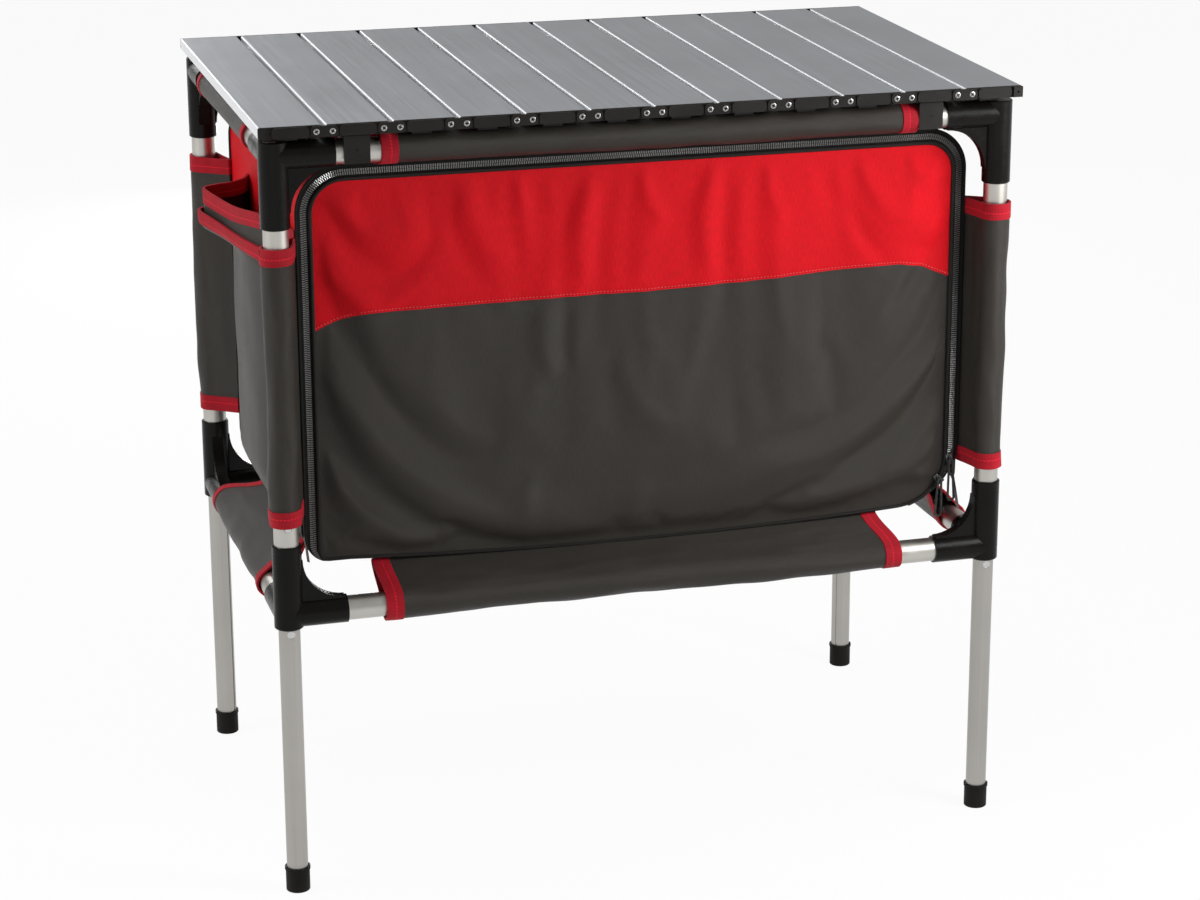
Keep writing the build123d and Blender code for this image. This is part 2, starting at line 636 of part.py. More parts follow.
def web_strip(plane, start, end, length):
    """Flat fabric strip between two points of a cross-section."""
    (u0, v0), (u1, v1) = start, end
    run = math.hypot(u1 - u0, v1 - v0)
    nu, nv = -(v1 - v0) / run * FABRIC / 2, (u1 - u0) / run * FABRIC / 2
    points = [(u0 + nu, v0 + nv), (u1 + nu, v1 + nv), (u1 - nu, v1 - nv), (u0 - nu, v0 - nv)]
    return prism(plane, points, length)


def compartment_envelope():
    """Space the compartment and its flap take up, with the seam's gap all round."""
    reach = COMPARTMENT_BACK + FABRIC + 2 * SEAM_GAP
    outline = rounded_outline(
        COMPARTMENT_HALF_WIDTH, COMPARTMENT_BOTTOM - SEAM_GAP, COMPARTMENT_TOP, -SEAM_GAP,
    )
    space = on_end_face(outline, 0, 0, reach, reach - FLAP_FACE + SEAM_GAP)
    opening = rounded_outline(
        ZIP_HALF_WIDTH, COMPARTMENT_BOTTOM - SEAM_GAP, COMPARTMENT_TOP, -SEAM_GAP,
    )
    front = COMPARTMENT_FRONT + SEAM_GAP
    return space + on_end_face(opening, 0, 0, front, front - SLIDER_FACE)


def rail_sleeve(axis, side, z, start, end, target):
    """Sleeve wrapped round a rail, with the web that ties it to the compartment's edge."""
    leg = side * (LEG_Y if axis == "X" else LEG_X)
    inner = RAIL_RADIUS + SLEEVE_GAP
    reach = inner + SLEEVE_THICK / 2
    run = math.hypot(target[0] - leg, target[1] - z)
    from_rail = (leg + (target[0] - leg) / run * reach, z + (target[1] - z) / run * reach)
    if axis == "X":
        plane = Plane(origin=(start, 0, 0), x_dir=(0, 1, 0), z_dir=(1, 0, 0))
    else:
        plane = Plane(origin=(0, end, 0), x_dir=(1, 0, 0), z_dir=(0, -1, 0))
    strip = web_strip(plane, from_rail, target, end - start) - compartment_envelope()
    wrap = tube(axis, inner + SLEEVE_THICK, SLEEVE_THICK, start, end, leg, z)
    return wrap + (strip - rod(axis, inner, start, end, leg, z))


def leg_sleeve(sx, sy):
    """Sleeve round a post, with the strip that ties it to the compartment's upright edge."""
    x, y = sx * LEG_X, sy * LEG_Y
    inner = POST_RADIUS + SLEEVE_GAP
    edge_y = COMPARTMENT_FRONT if sy < 0 else COMPARTMENT_BACK
    target = (sx * COMPARTMENT_HALF_WIDTH, edge_y - sy * FABRIC)
    run = math.hypot(target[0] - x, target[1] - y)
    reach = inner + SLEEVE_THICK / 2
    start = (x + (target[0] - x) / run * reach, y + (target[1] - y) / run * reach)
    low, high = LOWER_SLEEVE_END + LEG_SLEEVE_BELOW, TOP_SLEEVE_END - LEG_SLEEVE_ABOVE
    strip = web_strip(Plane.XY.offset(low), start, target, high - low)
    strip -= compartment_envelope()
    wrap = tube("Z", inner + SLEEVE_THICK, SLEEVE_THICK, low, high, x, y)
    return wrap + (strip - rod("Z", inner, low, high, x, y))


def corner_anchor(side, radius):
    """Point on the compartment's lower round corner that a side web is sewn to."""
    inward = radius * (1 - math.sqrt(0.5))
    return side * (COMPARTMENT_HALF_WIDTH - inward), COMPARTMENT_BOTTOM + inward


def organizer_sleeves():
    """All fabric sleeves: four posts, four upper rails and four lower rails."""
    pieces = [leg_sleeve(sx, sy) for sx, sy in CORNERS.values()]
    top_left, top_right = TOP_SLEEVE_LEFT_GAP - CLIP_INNER_END, CLIP_INNER_END - TOP_SLEEVE_RIGHT_GAP
    low_left, low_right = WEB_LEFT_GAP - BRANCH_END_X, BRANCH_END_X - WEB_RIGHT_GAP
    for side, edge in ((-1, COMPARTMENT_FRONT + FABRIC), (1, COMPARTMENT_BACK)):
        above = (edge, COMPARTMENT_TOP)
        below = (edge, COMPARTMENT_BOTTOM)
        pieces.append(rail_sleeve("X", side, TOP_RAIL_Z, top_left, top_right, above))
        pieces.append(rail_sleeve("X", side, LOWER_RAIL_Z, low_left, low_right, below))
    top_front, top_back = SIDE_SLEEVE_FRONT_GAP - BRANCH_END_Y, BRANCH_END_Y - SIDE_SLEEVE_BACK_GAP
    low_front, low_back = SIDE_WEB_FRONT_GAP - BRANCH_END_Y, BRANCH_END_Y - SIDE_WEB_BACK_GAP
    for side, radius in ((-1, BOTTOM_LEFT_ROUND), (1, BOTTOM_RIGHT_ROUND)):
        shoulder = (side * COMPARTMENT_HALF_WIDTH, COMPARTMENT_TOP - TOP_LEFT_ROUND)
        foot = corner_anchor(side, radius)
        pieces.append(rail_sleeve("Y", side, TOP_RAIL_Z, top_front, top_back, shoulder))
        pieces.append(rail_sleeve("Y", side, LOWER_RAIL_Z, low_front, low_back, foot))
    return pieces


def front_flap():
    """Panel that closes the compartment, inside its zip."""
    low = COMPARTMENT_BOTTOM + SEAM_GAP
    outline = rounded_outline(ZIP_HALF_WIDTH, low, COMPARTMENT_TOP, ZIP_TAPE_WIDTH)
    return on_end_face(outline, 0, 0, FLAP_BACK, FLAP_THICK)


def flap_zipper():
    """Zip tape and chain round the flap's sides and top, with the parked slider."""
    low = COMPARTMENT_BOTTOM + SEAM_GAP

    def band(outer, inner, y, depth):
        ring = rounded_outline(ZIP_HALF_WIDTH, low, COMPARTMENT_TOP, outer)
        ring -= rounded_outline(ZIP_HALF_WIDTH, low, COMPARTMENT_TOP, inner)
        return on_end_face(ring, 0, 0, y, depth)

    middle = ZIP_TAPE_WIDTH / 2
    tape = band(0, ZIP_TAPE_WIDTH - SEAM_GAP / 2, FLAP_BACK, ZIP_TAPE_THICK)
    chain = band(
        middle - ZIP_CHAIN_WIDTH / 2, middle + ZIP_CHAIN_WIDTH / 2, ZIP_FACE, ZIP_CHAIN_PROUD,
    )
    gap = block(
        -ZIP_HALF_WIDTH + ZIP_LEFT_END, ZIP_HALF_WIDTH - ZIP_RIGHT_END,
        FLAP_BACK, CHAIN_FACE, low - ZIP_END_RISE, low + ZIP_END_RISE,
    )
    zipper = tape + chain - gap
    return [zipper, slider(*PARKED_SLIDER_PLACE)]


def slider(x, z):
    """Zip slider with the small bail that its pull hangs from."""
    body = block(
        x - SLIDER_WIDTH / 2, x + SLIDER_WIDTH / 2, SLIDER_FACE, SLIDER_FACE + SLIDER_THICK,
        z - SLIDER_LENGTH / 2, z + SLIDER_LENGTH / 2,
    )
    body = chamfer(body.edges().filter_by(Axis.Y), SLIDER_WIDTH / 4)
    bail = Torus(BAIL_RADIUS, BAIL_WIRE)
    ring = Pos(x, SLIDER_FACE, z) * Rot(0, 90, 0) * bail
    ahead = block(x - BAIL_WIRE, x + BAIL_WIRE, -TOP_DEPTH, SLIDER_FACE, 0, TABLE_HEIGHT)
    return body + (ring & ahead)


def zip_pull(x, z, length):
    """Long loop of cord whose top bar hangs in a slider's bail."""
    outline = RectangleRounded(PULL_WIDTH, length, PULL_WIDTH / 2 - SEAM_GAP)
    hollow_width = PULL_WIDTH - 2 * PULL_CORD
    outline -= RectangleRounded(hollow_width, length - 2 * PULL_CORD, hollow_width / 2 - SEAM_GAP)
    bar = (BAIL_RADIUS - BAIL_WIRE) / 2
    top = z + PULL_CORD / 2
    return on_end_face(outline, x, top - length / 2, SLIDER_FACE - bar + PULL_CORD / 2, PULL_CORD)


def corner_pieces(make):
    """One piece for each of the four corners."""
    return [make(sx, sy) for sx, sy in CORNERS.values()]


def nodes():
    """Every named sub-part with its list of solids."""
    made = {}
    for index in range(1, SLAT_COUNT + 1):
        made[f"slat_{index:02d}"] = [slat(index)]
        made[f"slat_caps_{index:02d}"] = slat_caps(index)
    for index in range(1, SLAT_COUNT):
        made[f"links_{index:02d}"] = links(index)
    for name, (sx, sy) in CORNERS.items():
        made[f"lower_leg_{name}"] = [lower_leg(sx, sy)]
        made[f"leg_foot_{name}"] = [leg_foot(sx, sy)]
        made[f"snap_button_{name}"] = [snap_button(sx, sy)]
    made["upper_posts"] = corner_pieces(post)
    made["top_connectors"] = corner_pieces(top_connector)
    made["lower_connectors"] = corner_pieces(lower_connector)
    made["top_rails"] = rails(TOP_RAIL_Z)
    made["lower_rails"] = rails(LOWER_RAIL_Z)
    made["organizer_shell"] = organizer_shell()
    made["organizer_sleeves"] = organizer_sleeves()
    made["side_pockets"] = [make(side) for side in (-1, 1) for make in (side_pocket, outer_pocket)]
    made["front_flap"] = [front_flap()]
    made["flap_zipper"] = flap_zipper()
    made["zip_slider"] = [slider(*SLIDER_PLACE)]
    made["zip_pull_upper"] = [zip_pull(*SLIDER_PLACE, PULL_LENGTH)]
    made["zip_pull_lower"] = [zip_pull(*PARKED_SLIDER_PLACE, PARKED_PULL_LENGTH)]
    return made


def main():
    """Write one STEP file for each sub-part."""
    os.makedirs("parts", exist_ok=True)
    for name, pieces in nodes().items():
        solids = [solid for piece in pieces for solid in piece.solids()]
        export_step(Compound(children=solids), f"parts/{name}.step")
        print(name, len(solids))


if __name__ == "__main__":
    main()
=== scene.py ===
"""Camp table with a roll-up slatted top and a zipped fabric organizer: its finishes and studio.

Metres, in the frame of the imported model: X to the right along the table, Y to the back, Z up.
"""
import functools
import itertools
import json
import logging
import math
from dataclasses import dataclass
from enum import Enum
from typing import Callable, Iterable, Sequence

import bmesh
import bpy
from mathutils import Matrix, Vector, noise

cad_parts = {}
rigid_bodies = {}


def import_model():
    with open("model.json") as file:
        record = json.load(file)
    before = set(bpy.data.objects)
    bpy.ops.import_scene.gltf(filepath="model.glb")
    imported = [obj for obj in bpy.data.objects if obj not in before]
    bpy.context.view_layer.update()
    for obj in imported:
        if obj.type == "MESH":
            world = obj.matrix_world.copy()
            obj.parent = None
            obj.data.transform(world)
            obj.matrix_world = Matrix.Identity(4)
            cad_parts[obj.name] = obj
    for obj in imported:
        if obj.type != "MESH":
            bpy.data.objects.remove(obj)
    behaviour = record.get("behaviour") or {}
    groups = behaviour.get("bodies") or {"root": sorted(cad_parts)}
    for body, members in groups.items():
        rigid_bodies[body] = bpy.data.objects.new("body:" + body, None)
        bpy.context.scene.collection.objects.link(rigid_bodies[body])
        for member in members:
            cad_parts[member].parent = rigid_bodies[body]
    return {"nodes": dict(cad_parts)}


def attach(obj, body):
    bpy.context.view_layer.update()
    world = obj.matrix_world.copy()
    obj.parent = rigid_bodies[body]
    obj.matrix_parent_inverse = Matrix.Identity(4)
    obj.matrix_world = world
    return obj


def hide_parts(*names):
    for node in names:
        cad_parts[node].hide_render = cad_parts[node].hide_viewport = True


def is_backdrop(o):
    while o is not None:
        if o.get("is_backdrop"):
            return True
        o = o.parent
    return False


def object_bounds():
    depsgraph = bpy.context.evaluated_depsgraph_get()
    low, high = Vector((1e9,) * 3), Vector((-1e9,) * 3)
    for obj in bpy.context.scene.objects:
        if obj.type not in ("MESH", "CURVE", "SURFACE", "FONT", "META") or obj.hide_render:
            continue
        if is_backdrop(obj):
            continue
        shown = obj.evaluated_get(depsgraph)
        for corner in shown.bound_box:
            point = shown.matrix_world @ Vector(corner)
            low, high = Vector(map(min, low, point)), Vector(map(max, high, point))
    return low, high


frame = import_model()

log = logging.getLogger("camp_table")
CAD_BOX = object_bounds()

Place = Callable[[float, float], Vector]
Colour = tuple[float, float, float]


class Side(Enum):
    """The two ends of the table, by the sign of their X."""

    LEFT = -1
    RIGHT = 1


class End(Enum):
    """The two long sides of the table, by the sign of their Y."""

    FRONT = -1
    REAR = 1


class Along(Enum):
    """Direction that a tube runs in, with the two axes across it."""

    X = (1, 2)
    Y = (0, 2)
    Z = (0, 1)


class Nodes:
    """Node tree that grows step by step."""

    def __init__(self, tree: bpy.types.NodeTree) -> None:
        """Hold the tree that the nodes are added to."""
        self.tree = tree

    def first(self, kind: str) -> bpy.types.Node:
        """First node of a type that the tree already has."""
        return next(n for n in self.tree.nodes if n.type == kind)

    def node(self, kind: str, sockets: dict | None = None, **settings: object) -> bpy.types.Node:
        """Add a node.

        Args:
            kind: Blender's node type name.
            sockets: Input values or output sockets to link, by input name or index.
            settings: Properties of the node.

        Returns:
            The new node.
        """
        made = self.tree.nodes.new(kind)
        for key, value in settings.items():
            setattr(made, key, value)
        for key, value in (sockets or {}).items():
            if isinstance(value, bpy.types.NodeSocket):
                self.tree.links.new(value, made.inputs[key])
            else:
                made.inputs[key].default_value = value
        return made

    def math(self, operation: str, first: object, second: object = 0.0) -> object:
        """Result of a Math node on two sockets or numbers."""
        return self.node("ShaderNodeMath", {0: first, 1: second}, operation=operation).outputs[0]


class Shader(Nodes):
    """Node tree of one material with a Principled surface."""

    def __init__(self, name: str) -> None:
        """Start a material with a plain Principled surface.

        Args:
            name: Name of the material.
        """
        self.material = bpy.data.materials.new(name)
        self.material.use_nodes = True
        super().__init__(self.material.node_tree)
        self.surface = self.first("BSDF_PRINCIPLED")

    def coords(self, output: str = "Object", scale: Sequence[float] = (1.0, 1.0, 1.0)) -> object:
        """Coordinates, stretched by a Mapping node.

        Args:
            output: Output of the Texture Coordinate node.
            scale: Stretch along each axis.

        Returns:
            The mapped vector's socket.
        """
        start = self.node("ShaderNodeTexCoord").outputs[output]
        return self.node("ShaderNodeMapping", {"Vector": start, "Scale": scale}).outputs[0]

    def noise(self, vector: object, scale: float, detail: float = 3.0) -> object:
        """Noise value at a vector, for features of one over scale metres."""
        sockets = {"Vector": vector, "Scale": scale, "Detail": detail}
        return self.node("ShaderNodeTexNoise", sockets).outputs[0]

    def spread(
        self, value: object, low: float, high: float, start: float = 0.3, stop: float = 0.7
    ) -> object:
        """Value mapped from one range to another and clamped.

        Args:
            value: Socket to map.
            low: Result at start.
            high: Result at stop.
            start: Value that gives low.
            stop: Value that gives high.

        Returns:
            The mapped socket.
        """
        sockets = {0: value, 1: start, 2: stop, 3: low, 4: high}
        return self.node("ShaderNodeMapRange", sockets).outputs[0]

    def mix(self, share: object, first: object, second: object) -> object:
        """Colour between two colours.

        Args:
            share: Socket or number, 0 for the first colour and 1 for the second.
            first: First colour, or a socket.
            second: Second colour, or a socket.

        Returns:
            The mixed colour's socket.
        """
        ends = [c if isinstance(c, bpy.types.NodeSocket) else (*c, 1.0) for c in (first, second)]
        return self.node("ShaderNodeMix", {0: share, 6: ends[0], 7: ends[1]}, data_type="RGBA").outputs[2]

    def paint(self, **sockets: object) -> None:
        """Set or link the surface's inputs, named with underscores for spaces.

        Args:
            sockets: Sockets, colours or numbers, by input name.
        """
        for key, value in sockets.items():
            socket = self.surface.inputs[key.replace("_", " ")]
            if isinstance(value, bpy.types.NodeSocket):
                self.tree.links.new(value, socket)
            elif isinstance(value, tuple):
                socket.default_value = (*value, 1.0)
            else:
                socket.default_value = value

    def bump(self, height: object, depth: float) -> None:
        """Raise the surface by a height socket, depth metres at most."""
        made = self.node("ShaderNodeBump", {"Height": height, "Distance": depth})
        self.tree.links.new(made.outputs[0], self.surface.inputs["Normal"])


def shade(colour: Colour, share: float) -> Colour:
    """A colour made lighter or darker by a factor."""
    return tuple(min(1.0, c * share) for c in colour)


@dataclass(frozen=True)
class MouldedPlastic:
    """Injection-moulded plastic with a fine spark-eroded grain."""

    name: str
    colour: Colour
    roughness: float = 0.42
    grain: float = 0.00012
    gloss: float = 0.12

    def material(self) -> bpy.types.Material:
        """Build the plastic's material.

        Returns:
            The material.
        """
        s = Shader(self.name)
        where = s.coords()
        cloud = s.noise(where, 18.0)
        fine = s.noise(where, 1500.0, 1.0)
        dark, light = shade(self.colour, 0.8), shade(self.colour, 1.35)
        s.paint(Base_Color=s.mix(s.spread(cloud, 0.0, 1.0), dark, light))
        s.paint(Roughness=s.spread(s.noise(where, 70.0), self.roughness - 0.06, self.roughness + 0.07))
        s.paint(Specular_IOR_Level=self.gloss)
        s.bump(fine, self.grain)
        return s.material


@dataclass(frozen=True)
class BrushedAluminium:
    """Anodised aluminium with faint drawing lines along one axis."""

    name: str
    colour: Colour
    roughness: float
    lines: tuple[float, float, float]
    metallic: float = 1.0

    def shader(self) -> Shader:
        """Nodes of the metal.

        Returns:
            The shader, to which a kind of aluminium can add.
        """
        s = Shader(self.name)
        drawn = s.noise(s.coords(scale=self.lines), 1.0, 4.0)
        cloud = s.noise(s.coords(), 9.0)
        tone = s.math("ADD", s.math("MULTIPLY", drawn, 0.55), s.math("MULTIPLY", cloud, 0.45))
        dark, light = shade(self.colour, 0.9), shade(self.colour, 1.09)
        s.paint(Base_Color=s.mix(s.spread(tone, 0.0, 1.0), dark, light), Metallic=self.metallic)
        s.paint(Roughness=s.spread(drawn, self.roughness - 0.05, self.roughness + 0.06))
        s.bump(drawn, 0.00004)
        return s

    def material(self) -> bpy.types.Material:
        """Build the metal's material."""
        return self.shader().material


@dataclass(frozen=True)
class SlatAluminium(BrushedAluminium):
    """Drawn slat: brushed and anodised on its faces, painted pale on its narrow long edges as a painted
    highlight of the lit seam walls.
    """

    # Pale colour of the long side walls: painted highlight where light catches the seams.
    edge: Colour = (0.78, 0.79, 0.81)
    highlight_metallic: float = 0.25
    steep: tuple[float, float] = (0.45, 0.75)

    def shader(self) -> Shader:
        """Nodes of the slat, its steep faces blended to a pale colour, a painted highlight of the lit seam
        walls.

        Returns:
            The shader.
        """
        s = super().shader()
        face = s.node("ShaderNodeNewGeometry").outputs["True Normal"]
        across = s.math("ABSOLUTE", s.node("ShaderNodeSeparateXYZ", {0: face}).outputs[0])
        # Steep faces, the slat's long side walls, get the pale colour: painted highlight of the seam walls.
        side = s.spread(across, 0.0, 1.0, *self.steep)
        brushed = s.surface.inputs["Base Color"].links[0].from_socket
        metal = s.spread(side, self.metallic, self.highlight_metallic, 0.0, 1.0)
        s.paint(Base_Color=s.mix(side, brushed, self.edge), Metallic=metal)
        return s


@dataclass(frozen=True)
class WovenCloth:
    """Coated polyester canvas: plain weave on the piece's UV map, which is in metres."""

    name: str
    colour: Colour
    pitch: float = 0.0011
    depth: float = 0.00022
    sheen: float = 0.02
    roughness: float = 0.60
    gloss: float = 0.14

    def weave(self, s: Shader) -> object:
        """Height of the woven yarns, from 0 to 1.

        Args:
            s: Shader that the weave is built in.

        Returns:
            Socket of the height.
        """
        turns = math.tau / self.pitch
        parts = s.node("ShaderNodeSeparateXYZ", {0: s.coords("UV")})
        warp = s.math("SINE", s.math("MULTIPLY", parts.outputs[0], turns))
        weft = s.math("SINE", s.math("MULTIPLY", parts.outputs[1], turns))
        return s.spread(s.math("MULTIPLY", warp, weft), 0.0, 1.0, -1.0, 1.0)

    def material(self) -> bpy.types.Material:
        """Build the cloth's material.

        Returns:
            The material.
        """
        s = Shader(self.name)
        weave = self.weave(s)
        slub = s.noise(s.coords("UV", (900.0, 110.0, 1.0)), 1.0, 2.0)
        cloud = s.noise(s.coords(), 7.0)
        tone = s.math("ADD", s.math("MULTIPLY", slub, 0.6), s.math("MULTIPLY", cloud, 0.4))
        worn = s.mix(s.spread(tone, 0.0, 1.0), shade(self.colour, 0.82), shade(self.colour, 1.18))
        # The colour goes darker where the weave is low: painted shade in the hollows between the yarns.
        s.paint(Base_Color=s.mix(s.spread(weave, 0.35, 0.0, 0.0, 0.6), worn, shade(self.colour, 0.5)))
        s.paint(Roughness=self.roughness, Specular_IOR_Level=self.gloss)
        s.paint(Sheen_Weight=self.sheen, Sheen_Roughness=0.4, Sheen_Tint=shade(self.colour, 4.0))
        s.bump(s.math("ADD", weave, s.math("MULTIPLY", slub, 0.5)), self.depth)
        return s.material


@dataclass(frozen=True)
class BindingTape:
    """Ribbed grosgrain tape with a row of stitches beside its inner edge.

    The UV map is in metres: X along the tape and Y across it from the folded edge.
    """

    name: str
    colour: Colour
    stitch_row: float = 0.0095
    stitch: float = 0.0030

    def material(self) -> bpy.types.Material:
        """Build the tape's material.

        Returns:
            The material.
        """
        s = Shader(self.name)
        parts = s.node("ShaderNodeSeparateXYZ", {0: s.coords("UV")})
        rib = s.math("SINE", s.math("MULTIPLY", parts.outputs[0], math.tau / 0.0012))
        rib = s.spread(rib, 0.0, 1.0, -1.0, 1.0)
        step = s.math("FRACT", s.math("DIVIDE", parts.outputs[0], self.stitch))
        on = s.math("LESS_THAN", step, 0.64)
        off_row = s.math("ABSOLUTE", s.math("SUBTRACT", parts.outputs[1], self.stitch_row))
        thread = s.math("MULTIPLY", on, s.math("LESS_THAN", off_row, 0.0006))
        cloud = s.noise(s.coords(), 45.0)
        base = s.mix(s.spread(cloud, 0.0, 1.0), shade(self.colour, 0.84), shade(self.colour, 1.14))
        # The colour darkens in the grooves between the ribs: painted shade.
        ribbed = s.mix(s.spread(rib, 0.3, 0.0, 0.0, 0.7), base, shade(self.colour, 0.55))
        s.paint(Base_Color=s.mix(thread, ribbed, shade(self.colour, 2.0)))
        s.paint(Roughness=0.66, Specular_IOR_Level=0.2, Sheen_Weight=0.04, Sheen_Roughness=0.5)
        groove = s.math("SUBTRACT", s.math("MULTIPLY", rib, 0.6), s.math("MULTIPLY", thread, 1.4))
        s.bump(groove, 0.00025)
        return s.material


@dataclass(frozen=True)
class BraidedCord:
    """Thin braided cord, its strands crossing on both diagonals."""

    name: str
    colour: Colour

    def material(self) -> bpy.types.Material:
        """Build the cord's material.

        Returns:
            The material.
        """
        s = Shader(self.name)
        parts = s.node("ShaderNodeSeparateXYZ", {0: s.coords()})
        turns = math.tau / 0.0011
        rise, fall = (
            s.math("SINE", s.math("MULTIPLY", s.math(way, parts.outputs[0], parts.outputs[2]), turns))
            for way in ("ADD", "SUBTRACT")
        )
        braid = s.spread(s.math("MULTIPLY", rise, fall), 0.0, 1.0, -1.0, 1.0)
        # Lighter on the strands' crests and darker between them: painted highlight and painted shade.
        s.paint(Base_Color=s.mix(braid, shade(self.colour, 0.6), shade(self.colour, 1.6)))
        s.paint(Roughness=0.5)
        s.bump(braid, 0.0002)
        return s.material


@dataclass(frozen=True)
class Finishes:
    """Every finish of the table, built once."""

    black_plastic: bpy.types.Material
    link_plastic: bpy.types.Material
    slat: bpy.types.Material
    tube: bpy.types.Material
    leg: bpy.types.Material
    rubber: bpy.types.Material
    steel: bpy.types.Material
    screw: bpy.types.Material
    red_cloth: bpy.types.Material
    grey_cloth: bpy.types.Material
    binding: bpy.types.Material
    zip_tape: bpy.types.Material
    zip_coil: bpy.types.Material
    piping: bpy.types.Material
    thread: bpy.types.Material
    slider: bpy.types.Material
    cord: bpy.types.Material

    @classmethod
    def build(cls) -> "Finishes":
        """Build all materials with the colours of the real table.

        Returns:
            The finishes, by the names of their fields.
        """
        every_way, along_slat, along_leg = (40.0,) * 3, (700.0, 5.0, 700.0), (500.0, 500.0, 5.0)
        kinds = {
            "black_plastic": MouldedPlastic("connector_plastic", (0.0048, 0.0041, 0.0037), 0.26),
            "link_plastic": MouldedPlastic("cap_plastic", (0.017, 0.0152, 0.0138), 0.42, 0.0002),
            "slat": SlatAluminium("slat_aluminium", (0.445, 0.462, 0.485), 0.40, along_slat),
            "tube": BrushedAluminium("frame_tube", (0.50, 0.485, 0.45), 0.40, every_way),
            "leg": BrushedAluminium("leg_aluminium", (0.40, 0.385, 0.36), 0.38, along_leg),
            "rubber": MouldedPlastic("foot_rubber", (0.010, 0.009, 0.008), 0.58, 0.0003),
            "steel": BrushedAluminium("spring_steel", (0.55, 0.55, 0.56), 0.25, (300.0,) * 3),
            "screw": BrushedAluminium("zinc_screw", (0.40, 0.395, 0.39), 0.32, (400.0,) * 3),
            "red_cloth": WovenCloth("red_canvas", (0.70, 0.003, 0.010)),
            "grey_cloth": WovenCloth(
                "charcoal_canvas", (0.034, 0.0292, 0.0243), sheen=0.0, roughness=0.42, gloss=0.22
            ),
            "binding": BindingTape("crimson_binding", (0.40, 0.004, 0.015)),
            "zip_tape": WovenCloth("zip_tape", (0.009, 0.0085, 0.008), 0.0014, 0.0003, 0.05),
            # The coil's mid grey, lighter than its black plastic, is a painted highlight for the glints on
            # its turns.
            "zip_coil": MouldedPlastic("zip_coil", (0.13, 0.125, 0.12), 0.16, 0.00003, 1.0),
            "piping": WovenCloth("dark_piping", (0.022, 0.020, 0.018), 0.0012),
            "thread": BraidedCord("red_thread", (0.85, 0.085, 0.095)),
            "slider": BrushedAluminium("slider_metal", (0.10, 0.10, 0.10), 0.3, (200.0,) * 3),
            "cord": BraidedCord("pull_cord", (0.012, 0.012, 0.012)),
        }
        return cls(**{name: kind.material() for name, kind in kinds.items()})


def clear_selection() -> None:
    """Leave edit mode and select nothing."""
    if bpy.context.mode != "OBJECT":
        bpy.ops.object.mode_set(mode="OBJECT")
    bpy.ops.object.select_all(action="DESELECT")


def pick(piece: bpy.types.Object) -> None:
    """Make one object the only selected and active one.

    Args:
        piece: Object to pick.
    """
    clear_selection()
    piece.select_set(True)
    bpy.context.view_layer.objects.active = piece


def settle(piece: bpy.types.Object) -> None:
    """Put an object's place, turn and size into its mesh."""
    pick(piece)
    bpy.ops.object.transform_apply(location=True, rotation=True, scale=True)


def edit(piece: bpy.types.Object, operation: Callable, **settings: object) -> None:
    """Run a mesh operator on all of an object's faces.

    Args:
        piece: Object to change.
        operation: Operator to call in edit mode, with everything selected.
        settings: Settings of the operator.
    """
    pick(piece)
    bpy.ops.object.mode_set(mode="EDIT")
    bpy.ops.mesh.select_all(action="SELECT")
    operation(**settings)
    bpy.ops.object.mode_set(mode="OBJECT")


def apply_modifier(piece: bpy.types.Object, kind: str, **settings: object) -> None:
    """Add a modifier and apply it.

    Args:
        piece: Object to change.
        kind: Blender's modifier type.
        settings: Properties of the modifier.
    """
    pick(piece)
    made = piece.modifiers.new(kind.lower(), kind)
    for key, value in settings.items():
        setattr(made, key, value)
    bpy.ops.object.modifier_apply(modifier=made.name)


def smooth(piece: bpy.types.Object, angle: float = 50.0) -> None:
    """Shade an object smooth, keeping edges sharper than an angle in degrees."""
    pick(piece)
    bpy.ops.object.shade_smooth_by_angle(angle=math.radians(angle))


def finish_with(piece: bpy.types.Object, *materials: bpy.types.Material) -> bpy.types.Object:
    """Give an object its materials and return it.

    Args:
        piece: Object to dress.
        materials: Its materials, in the order of their slots.

    Returns:
        The object.
    """
    piece.data.materials.clear()
    for material in materials:
        piece.data.materials.append(material)
    return piece


def twin(model: bpy.types.Object, name: str, place: Matrix) -> bpy.types.Object:
    """Copy of a model with its own mesh, put in place.

    Args:
        model: Object to copy.
        name: Name of the copy.
        place: Place and turn, which go into the mesh.

    Returns:
        The copy.
    """
    copy = bpy.data.objects.new(name, model.data.copy())
    bpy.context.scene.collection.objects.link(copy)
    copy.data.transform(place)
    return copy


def scatter(
    name: str, model: bpy.types.Object, places: Iterable[Matrix], material: bpy.types.Material
) -> bpy.types.Object:
    """Many copies of one small model, as one piece.

    Args:
        name: Name of the piece.
        model: What is copied; it is removed afterwards.
        places: Place, turn and size of each copy.
        material: Finish of the piece.

    Returns:
        The piece.
    """
    build = bmesh.new()
    for place in places:
        copy = model.data.copy()
        copy.transform(place)
        build.from_mesh(copy)
        bpy.data.meshes.remove(copy)
    mesh = bpy.data.meshes.new(name)
    build.to_mesh(mesh)
    build.free()
    bpy.data.objects.remove(model)
    piece = bpy.data.objects.new(name, mesh)
    bpy.context.scene.collection.objects.link(piece)
    smooth(piece)
    return finish_with(piece, material)


def grid(
    name: str, columns: int, rows: int, place: Place, flat: tuple[float, float]
) -> bpy.types.Object:
    """Grid of cloth, each of its points put in place by a function.

    Args:
        name: Name of the piece.
        columns: Faces across.
        rows: Faces up.
        place: Point in space for a pair of shares from 0 to 1.
        flat: Size that the cloth was cut to, which the UV map is scaled to.

    Returns:
        The open cloth surface.
    """
    clear_selection()
    bpy.ops.mesh.primitive_grid_add(x_subdivisions=columns, y_subdivisions=rows, size=1.0)
    piece = bpy.context.object
    piece.name = name
    for vertex in piece.data.vertices:
        vertex.co = place(vertex.co.x + 0.5, vertex.co.y + 0.5)
    for corner in piece.data.uv_layers.active.data:
        corner.uv = (corner.uv[0] * flat[0], corner.uv[1] * flat[1])
    return piece


